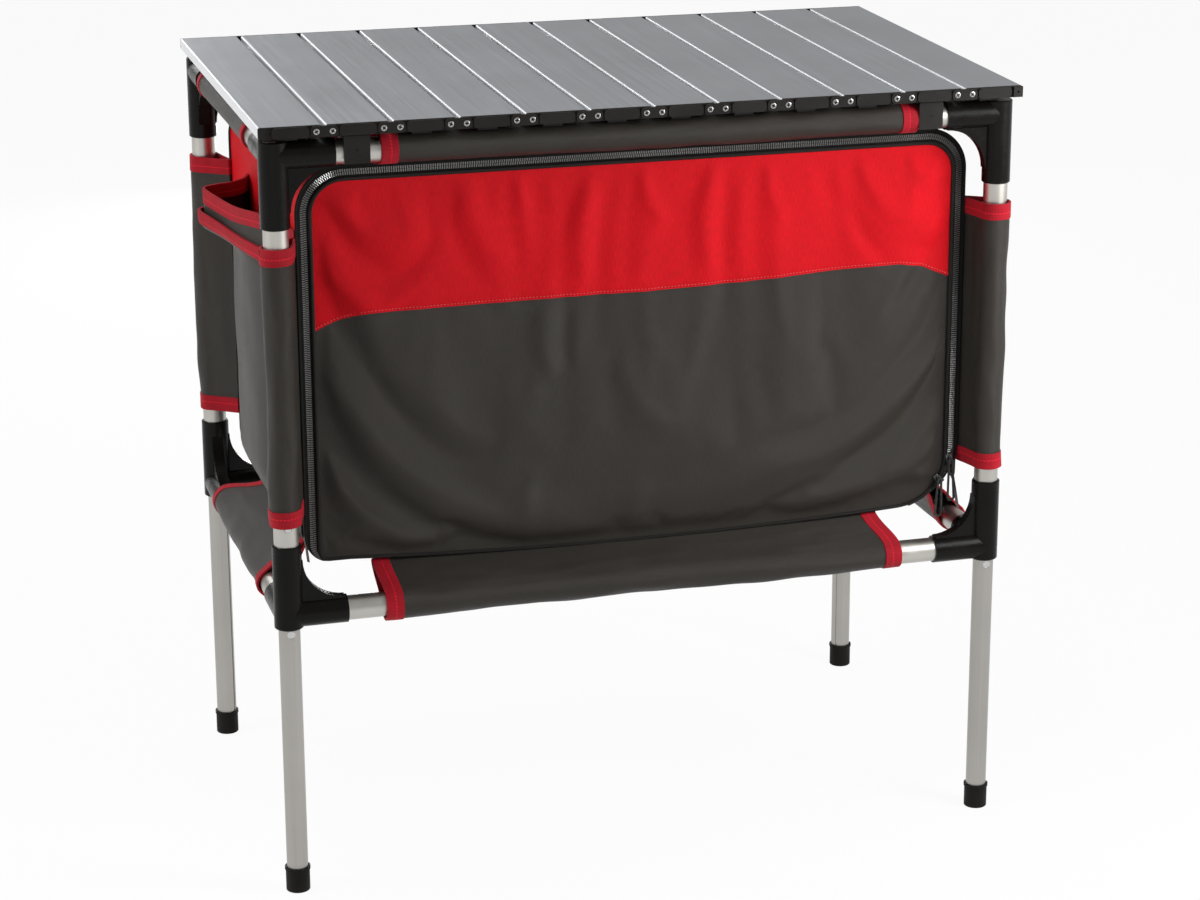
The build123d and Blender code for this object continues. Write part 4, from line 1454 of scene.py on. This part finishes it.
@dataclass
class SidePocket:
    """Pouch sewn on one side wall, its mouth bound, with a second pocket on its outside."""

    side: Side
    layout: Layout
    finishes: Finishes
    foot: float = 0.380
    mouth: float = 0.700
    rear_round: float = 0.060
    thick: float = 0.0016
    wall: float = 0.3556
    flare: tuple[float, float] = (0.640, 0.663)
    taper: float = 0.050
    girth: float = 0.345
    under: float = 0.10
    outer_proud: float = 0.0019
    outer_mouth: float = 0.6630
    gape: float = 0.0042
    gape_across: tuple[float, float] = (0.60, 0.16)
    gape_up: tuple[float, float] = (0.675, 0.018)
    mouth_line: tuple = (
        (0.0, 0.004), (0.004, 0.018), (0.010, 0.040), (0.0185, 0.072), (0.030, 0.105), (0.0385, 0.135),
        (0.0475, 0.168), (0.0560, 0.195), (0.0585, 0.207), (0.055, 0.215), (0.042, 0.222), (0.026, 0.228),
        (0.011, 0.242), (0.0, 0.268),
    )
    foot_line: tuple = (
        (0.0, 0.004), (0.005, 0.018), (0.012, 0.038), (0.020, 0.068), (0.0265, 0.098), (0.029, 0.128),
        (0.029, 0.158), (0.0285, 0.185), (0.0275, 0.204), (0.0245, 0.221), (0.019, 0.231), (0.012, 0.240),
        (0.004, 0.249), (0.0, 0.262),
    )

    def low(self, y: float) -> float:
        """Height of the pouch's bottom edge at a place along the wall, round at the rear.

        Args:
            y: Place along the wall.

        Returns:
            The height.
        """
        centre = self.layout.front + 0.284 - self.rear_round
        past = min(max(y - centre, 0.0), self.rear_round * 0.999)
        return self.foot + self.rear_round - math.sqrt(self.rear_round ** 2 - past ** 2)

    def spot(self, u: float, z: float, proud: float) -> Vector:
        """Point on the pouch.

        Args:
            u: Share along the outline, from the front to the rear.
            z: Height.
            proud: Distance outside the pouch's own surface.

        Returns:
            The point.
        """
        rise = (z - self.foot) / (self.mouth - self.foot)
        low, high = between(self.foot_line, u), between(self.mouth_line, u)
        flat = low.lerp(high, ease((z - self.flare[0]) / (self.flare[1] - self.flare[0])))
        flat.x *= 0.35 + 0.65 * ease((z - self.foot + 0.004) / self.taper)
        step = between(self.mouth_line, min(u + 0.01, 1.0)) - between(self.mouth_line, max(u - 0.01, 0.0))
        normal = Vector((step.y, -step.x)).normalized()
        at = Vector((flat.x, self.layout.front + flat.y, z))
        free = math.sin(math.pi * u) * (1.0 - 0.5 * ease((rise - 0.8) * 5.0))
        swell = waves(at, ((0.003, 0.12, 1.0 + self.side.value), (0.0012, 0.045, 4.0)))
        (at_u, wide), (at_z, tall) = self.gape_across, self.gape_up
        gape = self.gape * math.exp(-((u - at_u) / wide) ** 2) * math.exp(-((z - at_z) / tall) ** 2)
        push = swell * free + proud + gape * min(1.0, proud / self.outer_proud)
        x = max(0.0, flat.x + normal.x * push)
        return Vector((self.side.value * (self.wall + x), at.y + normal.y * push, z))

    def along(self, layer: Layer, u: float) -> float:
        """Share of the outline at a share of a layer, whose faces look outward on both sides."""
        return layer.start + (layer.stop - layer.start) * (u if self.side is Side.LEFT else 1.0 - u)

    def skin(self, layer: Layer) -> bpy.types.Object:
        """Cloth of one layer, turned in under its bottom.

        Args:
            layer: The layer.

        Returns:
            The cloth.
        """
        def place(u: float, v: float) -> Vector:
            along = self.along(layer, u)
            y = self.layout.front + between(self.foot_line, along).y
            low = self.low(y)
            if v < self.under:
                edge = self.spot(along, low, layer.proud)
                inward = ease(1.0 - v / self.under)
                x = edge.x + (self.side.value * self.wall - edge.x) * inward
                drop = 0.004 * math.sin(math.pi * inward)
                return Vector((x, edge.y + (y - edge.y) * inward, low - drop))
            share = (v - self.under) / (1.0 - self.under)
            return self.spot(along, low + (layer.top(along) - low) * share, layer.proud)

        size = (self.girth * (layer.stop - layer.start), self.mouth - self.foot + 0.028)
        piece = cloth(layer.name, 84, 56, place, size, self.thick, self.finishes.grey_cloth)
        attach(piece, "frame")
        return piece

    def binding(self, layer: Layer) -> bpy.types.Object:
        """Tape folded over the upper edge of a layer.

        Args:
            layer: The layer.

        Returns:
            The tape.
        """
        def place(u: float, v: float) -> Vector:
            along = self.along(layer, u)
            return self.spot(along, layer.top(along) + 0.0009 - layer.tape * (1.0 - v), layer.proud)

        size = (self.girth * (layer.stop - layer.start), layer.tape)
        name = f"{layer.name}_binding"
        piece = cloth(name, 84, 6, place, size, self.thick + 0.0016, self.finishes.binding)
        for corner in piece.data.uv_layers.active.data:
            corner.uv = (corner.uv[0], layer.tape - corner.uv[1])
        apply_modifier(piece, "BEVEL", width=0.0005, segments=2, limit_method="ANGLE")
        smooth(piece)
        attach(piece, "frame")
        return piece

    def rim(self, along: float) -> float:
        """Height of the pouch's mouth at a share of the outline."""
        dip = 0.005 * math.exp(-((along - 0.40) / 0.13) ** 2)
        return self.mouth - dip - 0.002 * (1.0 - ease(along / 0.3))

    def slope(self, along: float) -> float:
        """Height of the outer pocket's mouth at a share of the outline.

        Args:
            along: Share of the outline.

        Returns:
            The height.
        """
        y = between(self.mouth_line, along).y
        dip = 0.003 * math.exp(-((along - 0.42) / 0.12) ** 2)
        return self.outer_mouth + 0.0140 * ease((y - 0.05) / 0.16) - dip

    def build(self) -> None:
        """Make the pouch, the pocket outside it and their bound edges."""
        label = self.side.name.lower()
        height = self.mouth - self.foot
        layers = (
            Layer(f"side_pouch_{label}", 0.0, self.rim, 0.0, 1.0, (0.310, height + 0.020), 0.0160),
            Layer(
                f"side_outer_pocket_{label}", self.outer_proud, self.slope, 0.03, 0.86,
                (0.265, height - 0.014), 0.0140,
            ),
        )
        skins = [self.skin(layer) for layer in layers]
        tapes = [self.binding(layer) for layer in layers]
        if self.side is Side.LEFT:
            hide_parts("side_pockets")
        log.info("%s pocket", label)


@dataclass
class FrontFlap:
    """Panel that closes the compartment: red above the seam, charcoal below."""

    layout: Layout
    finishes: Finishes
    face: float = -0.2005
    thick: float = 0.0022
    columns: int = 150
    lower_rows: int = 58
    upper_rows: int = 34
    frames: int = 16
    moves: float = 0.007
    red_step: float = 0.0008
    bulge: float = 0.0062
    pucker: float = 0.0013
    lean: float = 0.0008
    groove: float = 0.0012
    groove_width: float = 0.007
    waves: tuple = ((0.0025, 0.24, 1.5), (0.0010, 0.095, 3.5))
    stitch: tuple[float, float, float] = (0.0012, 0.0005, 0.0005)
    stitch_pitch: float = 0.0036
    stitch_offset: tuple[float, float, float] = (0.0, -0.0009, 0.0028)
    seam_line: tuple = (
        (-0.3410, 0.5945), (-0.3262, 0.6018), (-0.3107, 0.6073), (-0.2953, 0.6118), (-0.2830, 0.6133),
        (-0.1922, 0.6137), (-0.0980, 0.6140), (-0.0024, 0.6142), (0.1055, 0.6165), (0.2107, 0.6218),
        (0.2550, 0.6235), (0.2814, 0.6234), (0.3077, 0.6185), (0.3410, 0.6035),
    )
    fold_depth: float = 2.1
    folds: tuple = (
        (-0.329, 0.548, -0.138, 0.373, 0.020, 0.0034), (-0.335, 0.460, -0.244, 0.361, 0.013, 0.0028),
        (-0.290, 0.558, -0.163, 0.445, 0.016, -0.0026), (-0.330, 0.506, -0.235, 0.395, 0.012, -0.0022),
        (-0.232, 0.536, -0.078, 0.367, 0.022, 0.0018), (-0.120, 0.432, -0.125, 0.363, 0.012, 0.0013),
        (0.106, 0.412, 0.339, 0.534, 0.020, 0.0028), (0.188, 0.373, 0.343, 0.471, 0.016, 0.0026),
        (0.142, 0.435, 0.338, 0.565, 0.014, -0.0020), (0.210, 0.411, 0.340, 0.503, 0.012, -0.0020),
        (0.053, 0.443, 0.198, 0.554, 0.024, 0.0016), (-0.101, 0.607, -0.098, 0.538, 0.014, 0.0019),
        (-0.076, 0.601, -0.081, 0.541, 0.010, -0.0013), (-0.025, 0.537, 0.022, 0.472, 0.020, 0.0015),
        (-0.004, 0.408, -0.006, 0.353, 0.012, 0.0011), (0.269, 0.392, 0.324, 0.419, 0.012, 0.0015),
        (-0.115, 0.743, -0.096, 0.699, 0.008, -0.0016), (-0.129, 0.742, -0.121, 0.708, 0.009, 0.0014),
        (-0.075, 0.739, -0.080, 0.677, 0.012, -0.0017), (-0.050, 0.725, -0.061, 0.637, 0.014, 0.0019),
        (-0.033, 0.728, -0.042, 0.623, 0.012, -0.0015), (0.001, 0.742, 0.022, 0.687, 0.010, 0.0017),
        (0.103, 0.740, 0.091, 0.627, 0.012, -0.0019), (0.078, 0.733, 0.070, 0.641, 0.012, 0.0018),
        (0.134, 0.734, 0.152, 0.682, 0.009, 0.0013), (0.195, 0.739, 0.209, 0.696, 0.009, -0.0012),
        (-0.317, 0.729, -0.229, 0.687, 0.014, 0.0022), (-0.326, 0.701, -0.230, 0.649, 0.012, -0.0017),
        (-0.327, 0.656, -0.272, 0.615, 0.012, 0.0018), (-0.187, 0.733, -0.135, 0.655, 0.018, 0.0018),
        (-0.216, 0.731, -0.172, 0.645, 0.016, -0.0016), (0.239, 0.719, 0.335, 0.657, 0.014, 0.0018),
        (0.227, 0.673, 0.336, 0.627, 0.014, -0.0014), (0.292, 0.737, 0.315, 0.710, 0.009, 0.0013),
    )

    def outline(self) -> Outline:
        """Outline of the panel, just under the zip's inner edge."""
        return self.layout.zip.inset(0.0155)

    def column(self, u: float) -> float:
        """X of a column, closer together towards the ends."""
        across = 0.62 * (2 * u - 1) - 0.38 * math.cos(math.pi * u)
        return across * self.outline().half_width

    def seam_height(self, x: float) -> float:
        """Height of the seam between the two colours at an X.

        Args:
            x: Place across.

        Returns:
            The height.
        """
        points = self.seam_line
        for (x0, z0), (x1, z1) in zip(points, points[1:]):
            if x <= x1 or (x1, z1) == points[-1]:
                return z0 + (z1 - z0) * min(1.0, max(0.0, (x - x0) / (x1 - x0)))
        return points[-1][1]

    def edges(self, x: float) -> tuple[float, float]:
        """Lowest and highest Z of the panel at an X, with its hanging bottom."""
        low, high = self.outline().span(x)
        return low - self.layout.sag(x), high

    def creases(self, x: float, z: float) -> float:
        """Sum of the panel's soft folds at a point.

        Args:
            x: Place across.
            z: Height.

        Returns:
            Metres towards the front, negative in a valley.
        """
        total = 0.0
        for x0, z0, x1, z1, width, height in self.folds:
            run = Vector((x1 - x0, z1 - z0))
            away = Vector((x - x0, z - z0))
            share = away.dot(run) / run.length_squared
            if not -0.25 < share < 1.25:
                continue
            bow = 0.08 * run.length * math.sin(math.pi * min(max(share, 0.0), 1.0))
            across = (away.x * run.y - away.y * run.x) / run.length - bow
            if abs(across) < 3.0 * width:
                fade = ease((share + 0.25) / 0.45) * ease((1.25 - share) / 0.45)
                total += height * fade * math.exp(-(across / width) ** 2)
        return self.fold_depth * total

    def relief(self, x: float, z: float) -> float:
        """How far the cloth stands out of its plane at a point.

        Args:
            x: Place across.
            z: Height.

        Returns:
            Metres towards the front.
        """
        low, high = self.edges(x)
        half = self.outline().half_width
        at = Vector((x, 0.0, z))
        inside = min(z - low, high - z, half - abs(x))
        free = ease(inside / 0.06)
        swell = self.bulge * free
        for height, size, seed in self.waves:
            swell += height * free * ripple(at, size, seed)
        swell += self.creases(x, z) * ease(inside / 0.022)
        near_top = math.exp(-max(0.0, high - z - 0.01) / 0.05) * ease((high - z) / 0.02)
        swell += self.pucker * near_top * ripple(Vector((x, 0.0, z * 0.25)), 0.036, 6.0)
        lean = ripple(Vector((x * 0.8 + z * 0.6, 0.0, z * 0.3)), 0.13, 9.0)
        swell += self.lean * free * lean
        near_seam = math.exp(-((z - self.seam_height(x)) / self.groove_width) ** 2)
        return max(0.0, swell - self.groove * near_seam * free)

    def place(self, u: float, v: float) -> Vector:
        """Point of the flat panel before it is slackened, its seam on one row of the grid.

        Args:
            u: Share of the panel across.
            v: Share of the panel upwards.

        Returns:
            The point.
        """
        x = self.column(u)
        low, high = self.edges(x)
        seam = min(max(self.seam_height(x), low + 0.002), high - 0.002)
        share = self.lower_rows / (self.lower_rows + self.upper_rows)
        if v <= share:
            z = low + (seam - low) * v / share
        else:
            z = seam + (high - seam) * (v - share) / (1 - share)
        return Vector((x, self.face - self.relief(x, z), z))

    def slacken(self, panel: bpy.types.Object) -> None:
        """Let the cloth settle between its sewn edges, as a simulation, and keep the result.

        Args:
            panel: The open surface.
        """
        before = [vertex.co.copy() for vertex in panel.data.vertices]
        pins = panel.vertex_groups.new(name="sewn_edge")
        half = self.outline().half_width
        for vertex in panel.data.vertices:
            low, high = self.edges(vertex.co.x)
            inside = min(vertex.co.z - low, high - vertex.co.z, half - abs(vertex.co.x))
            pins.add([vertex.index], 1.0 - ease((inside - 0.001) / 0.014), "REPLACE")
        pick(panel)
        made = panel.modifiers.new("settle", "CLOTH")
        weave = {
            "quality": 6, "mass": 0.25, "tension_stiffness": 25.0, "compression_stiffness": 25.0,
            "shear_stiffness": 8.0, "bending_stiffness": 2.5, "vertex_group_mass": pins.name,
            "shrink_min": -0.006, "shrink_max": -0.006, "use_pressure": True, "uniform_pressure_force": 0.6,
        }
        for key, value in weave.items():
            setattr(made.settings, key, value)
        made.settings.effector_weights.gravity = 0.1
        made.collision_settings.use_collision = False
        made.collision_settings.use_self_collision = False
        made.point_cache.frame_end = self.frames
        for number in range(1, self.frames):
            bpy.context.scene.frame_set(number)
        bpy.ops.object.modifier_apply(modifier=made.name)
        bpy.context.scene.frame_set(1)
        for vertex, start in zip(panel.data.vertices, before):
            moved = vertex.co - start
            if moved.length > self.moves:
                vertex.co = start + moved * (self.moves / moved.length)
            vertex.co.y = min(vertex.co.y, self.face)
        panel.vertex_groups.clear()

    def build(self) -> None:
        """Make the panel, its seam and the stitches along it."""
        rows = self.lower_rows + self.upper_rows
        size = (2 * self.outline().half_width, self.outline().high - self.outline().low)
        panel = grid("front_flap_panel", self.columns, rows, self.place, size)
        self.slacken(panel)
        finish_with(panel, self.finishes.grey_cloth, self.finishes.red_cloth)
        across = len(panel.data.vertices) // (rows + 1)
        for vertex in panel.data.vertices:
            if vertex.index // across > self.lower_rows:
                vertex.co.y -= self.red_step
        for face in panel.data.polygons:
            face.material_index = int(min(face.vertices) // across >= self.lower_rows)
        self.stitches(panel, across)
        apply_modifier(panel, "SOLIDIFY", thickness=self.thick, offset=-1.0)
        smooth(panel, 60.0)
        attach(panel, "flap")
        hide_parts("front_flap")
        log.info("front flap sewn")

    def along(self, line: Sequence[Vector]) -> Iterable[Matrix]:
        """Places of the stitches, evenly spaced along a line.

        Args:
            line: Points of the line.

        Returns:
            The place of each stitch.
        """
        size = Matrix.Diagonal((*self.stitch, 1.0))
        distance = 0.0
        ahead = self.stitch_pitch / 2
        for start, stop in zip(line, line[1:]):
            run = stop - start
            turn = run.to_track_quat("X", "Z").to_matrix().to_4x4()
            while ahead <= distance + run.length:
                at = start + run * ((ahead - distance) / run.length)
                yield Matrix.Translation(at) @ turn @ size
                ahead += self.stitch_pitch
            distance += run.length

    def stitches(self, panel: bpy.types.Object, across: int) -> None:
        """Lay a row of stitches just above the seam, on the panel's surface.

        Args:
            panel: Panel whose surface they follow.
            across: Number of points in one row of its grid.
        """
        seam = panel.data.vertices[self.lower_rows * across:(self.lower_rows + 1) * across]
        line = [vertex.co + Vector(self.stitch_offset) for vertex in seam]
        clear_selection()
        bpy.ops.mesh.primitive_uv_sphere_add(segments=6, ring_count=4, radius=1.0)
        piece = scatter("seam_stitches", bpy.context.object, self.along(line), self.finishes.thread)
        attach(piece, "flap")


@dataclass
class Zip:
    """Zip round the flap's sides and top: tape, two rows of coil, piping and sliders."""

    layout: Layout
    finishes: Finishes
    face: float = -0.1995
    width: float = 0.017
    start: float = 0.018
    stop_x: float = 0.318
    pitch: float = 0.0024
    turn_size: tuple[float, float] = (0.00075, 0.0029)
    turn_proud: float = 0.0007
    row_offset: float = 0.0016
    slider_size: tuple[float, float, float] = (0.009, 0.0030, 0.0125)
    slider_y: float = -0.2030
    pull_y: float = -0.2078
    cord: float = 0.0014
    upper_bridge: tuple[float, float] = (0.3465, 0.400)
    lower_bridge: tuple[float, float] = (0.334, 0.379)
    piping_radius: float = 0.0021
    hem_radius: float = 0.0019
    waves: tuple = ((0.0004, 0.03, 2.0),)
    rolls: tuple = ((0.0013, 0.0012, 0.0012), (0.0009, 0.0045, 0.0014), (0.0012, 0.0125, 0.0014))

    @functools.cached_property
    def reach(self) -> tuple[float, float]:
        """Distances along the outline between which the zip runs.

        Returns:
            The distances from the lower left, where it starts and where it stops.
        """
        total = self.layout.zip.length()
        stop = total
        while stop > total * 0.6:
            point, _ = self.layout.zip.at(stop)
            if point.x >= self.stop_x and point.y < 0.45:
                break
            stop -= 0.002
        return 0.006, stop

    def spot(self, share: float, inset: float, proud: float) -> tuple[Vector, Vector, Vector]:
        """Point on the zip with its directions.

        Args:
            share: Share of the zip's run.
            inset: Distance in from the outer edge.
            proud: Distance in front of the tape.

        Returns:
            The point, the direction along the zip and the outward normal.
        """
        outline = self.layout.zip.inset(inset)
        first, last = self.reach
        scale = outline.length() / self.layout.zip.length()
        distance = (first + (last - first) * share) * scale
        point, normal = outline.at(distance)
        at = Vector((point.x, self.face - proud, point.y))
        if point.y < 0.42:
            at.z -= self.layout.sag(point.x) * max(0.0, -normal.y)
        return at, Vector((normal.y, 0.0, -normal.x)), Vector((normal.x, 0.0, normal.y))

    def relief(self, across: float) -> float:
        """Height of the tape's face over its width: a rolled outer edge and a low middle."""
        return sum(height * math.exp(-((across - at) / width) ** 2) for height, at, width in self.rolls)

    def tape(self) -> None:
        """Make the woven tape."""
        size = (self.reach[1], self.width)

        def place(u: float, v: float) -> Vector:
            across = self.width * (1.0 - v)
            at, _, _ = self.spot(u, across, 0.0)
            at.y -= self.relief(across) + waves(at, self.waves)
            return at

        piece = cloth("zip_tape", 420, 20, place, size, 0.0012, self.finishes.zip_tape, -1.0)
        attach(piece, "flap")
        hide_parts("flap_zipper")

    def turn(self) -> bpy.types.Object:
        """Model one turn of the coil, lying across the tape.

        Returns:
            The turn, at the origin.
        """
        radius, length = self.turn_size
        clear_selection()
        bpy.ops.mesh.primitive_cylinder_add(
            vertices=6, radius=radius, depth=length, rotation=(0, math.pi / 2, 0)
        )
        settle(bpy.context.object)
        return bpy.context.object

    def turns(self, offset: float, lead: float) -> Iterable[Matrix]:
        """Places of the turns in one row of the coil.

        Args:
            offset: Distance of the row from the middle of the tape.
            lead: Share of the pitch by which the row runs ahead.

        Returns:
            The place of each turn.
        """
        count = int(self.reach[1] / self.pitch)
        for index in range(count):
            at, ahead, out = self.spot((index + lead) / count, self.width / 2 + offset, self.turn_proud)
            yield Matrix.Translation(at) @ Matrix((out, Vector((0, -1, 0)), ahead)).transposed().to_4x4()

    def coil(self) -> None:
        """Lay both rows of coil turns along the middle of the tape."""
        for row, offset, lead in (("outer", -self.row_offset, 0.5), ("inner", self.row_offset, 0.0)):
            places = self.turns(offset, lead)
            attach(scatter(f"zip_coil_{row}", self.turn(), places, self.finishes.zip_coil), "flap")

    def piping(self) -> None:
        """Roll the piping between the zip and the panel."""
        points = [self.spot(i / 300, self.width - 0.0018, 0.0022)[0] for i in range(301)]
        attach(tube_along("zip_piping", points, self.piping_radius, self.finishes.piping), "flap")

    def hem(self) -> None:
        """Roll the hem along the flap's lower edge, between the zip's ends."""
        outline = self.layout.zip
        first, last = self.reach
        total = outline.length()
        points = []
        for index in range(121):
            point, normal = outline.at(last + (total + first - last) * index / 120)
            drop = self.layout.sag(point.x) * max(0.0, -normal.y)
            points.append(Vector((point.x, self.face - 0.0012, point.y + 0.0010 - drop)))
        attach(tube_along("flap_hem_piping", points, self.hem_radius, self.finishes.piping), "flap")

    def slider(self, name: str, x: float, z: float, turn: float) -> bpy.types.Object:
        """Model a zip slider: a waisted body with a bridge for its pull.

        Args:
            name: Name of the piece.
            x: Its place across.
            z: Its height.
            turn: Lean along the zip in degrees.

        Returns:
            The slider.
        """
        clear_selection()
        bpy.ops.mesh.primitive_cube_add(size=1.0)
        body = bpy.context.object
        body.name = name
        body.scale = self.slider_size
        settle(body)
        edit(body, bpy.ops.mesh.subdivide, number_cuts=3)
        for vertex in body.data.vertices:
            share = vertex.co.z / (self.slider_size[2] / 2)
            vertex.co.x *= 0.62 + 0.38 * ease(0.5 + 0.5 * share) if share > -0.2 else 0.66
            vertex.co.y *= 1.0 - 0.18 * abs(share)
        apply_modifier(body, "BEVEL", width=0.0006, segments=2, limit_method="ANGLE", angle_limit=0.7)
        bridge_points = [
            Vector((0.0, -0.0014 - 0.0030 * math.sin(math.pi * k / 10), 0.0040 - 0.0080 * k / 10))
            for k in range(11)
        ]
        bridge = tube_along(f"{name}_bridge", bridge_points, 0.0009, self.finishes.slider)
        clear_selection()
        bridge.select_set(True)
        body.select_set(True)
        bpy.context.view_layer.objects.active = body
        bpy.ops.object.join()
        lean = Matrix.Rotation(math.radians(turn), 4, "Y")
        body.data.transform(Matrix.Translation((x, self.slider_y, z)) @ lean)
        smooth(body)
        return finish_with(body, self.finishes.slider)

    def pull(self, name: str, x: float, z: float, length: float, lean: float) -> bpy.types.Object:
        """Make a pull: a long loop of cord with a moulded tip.

        Args:
            name: Name of the piece.
            x: Place across of the bridge that it hangs from.
            z: Height of that bridge.
            length: Length of the loop.
            lean: How far its lower end swings across.

        Returns:
            The pull.
        """
        narrow, wide, y = 0.0019, 0.0034, self.pull_y
        points = []
        for centre, radius, start, steps in ((-narrow, narrow, 0.0, 10), (wide - length, wide, math.pi, 16)):
            for index in range(steps + 1):
                angle = start + math.pi * index / steps
                points.append(Vector((radius * math.cos(angle), y, centre + radius * math.sin(angle))))
            last = points[-1]
            goal = Vector((-wide, y, wide - length)) if start == 0.0 else points[0]
            points.extend(last.lerp(goal, share / 12) for share in range(1, 12))
        for point in points:
            drop = -point.z / length
            point.x += x + lean * drop ** 1.6
            point.z += z + 0.0012
        return tube_along(name, points, self.cord, self.finishes.cord, closed=True)

    def sliders(self) -> None:
        """Set both sliders and hang their pulls."""
        upper, lower = self.upper_bridge, self.lower_bridge
        slider = self.slider("zip_slider_body", *upper, turn=-8.0)
        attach(slider, "slider")
        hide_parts("zip_slider")
        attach(self.slider("parked_slider_body", *lower, turn=140.0), "flap")
        for which, at, length, lean in (("upper", upper, 0.046, 0.001), ("lower", lower, 0.042, -0.001)):
            pull = self.pull(f"{which}_pull_loop", *at, length, lean)
            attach(pull, f"{which}_pull")
            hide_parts(f"zip_pull_{which}")

    def build(self) -> None:
        """Make the whole zip."""
        self.tape()
        self.coil()
        self.piping()
        self.hem()
        self.sliders()
        log.info("zip laid")


def main() -> None:
    """Build the studio and dress the table."""
    logging.basicConfig(level=logging.INFO, format="%(message)s")
    Studio().build()
    finishes = Finishes.build()
    layout = Layout()
    HardFrame(layout, finishes).build()
    Compartment(layout, finishes).build()
    SleeveSet(layout, finishes).build()
    for side in Side:
        SidePocket(side, layout, finishes).build()
    Zip(layout, finishes).build()
    FrontFlap(layout, finishes).build()
    clear_selection()
    for piece in bpy.context.scene.objects:
        if piece.type == "MESH":
            log.info("%s: %d faces", piece.name, len(piece.data.polygons))
    boxes = {"cad": CAD_BOX, "visual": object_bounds()}
    {name: [list(corner) for corner in box] for name, box in boxes.items()}


if __name__ == "__main__":
    main()
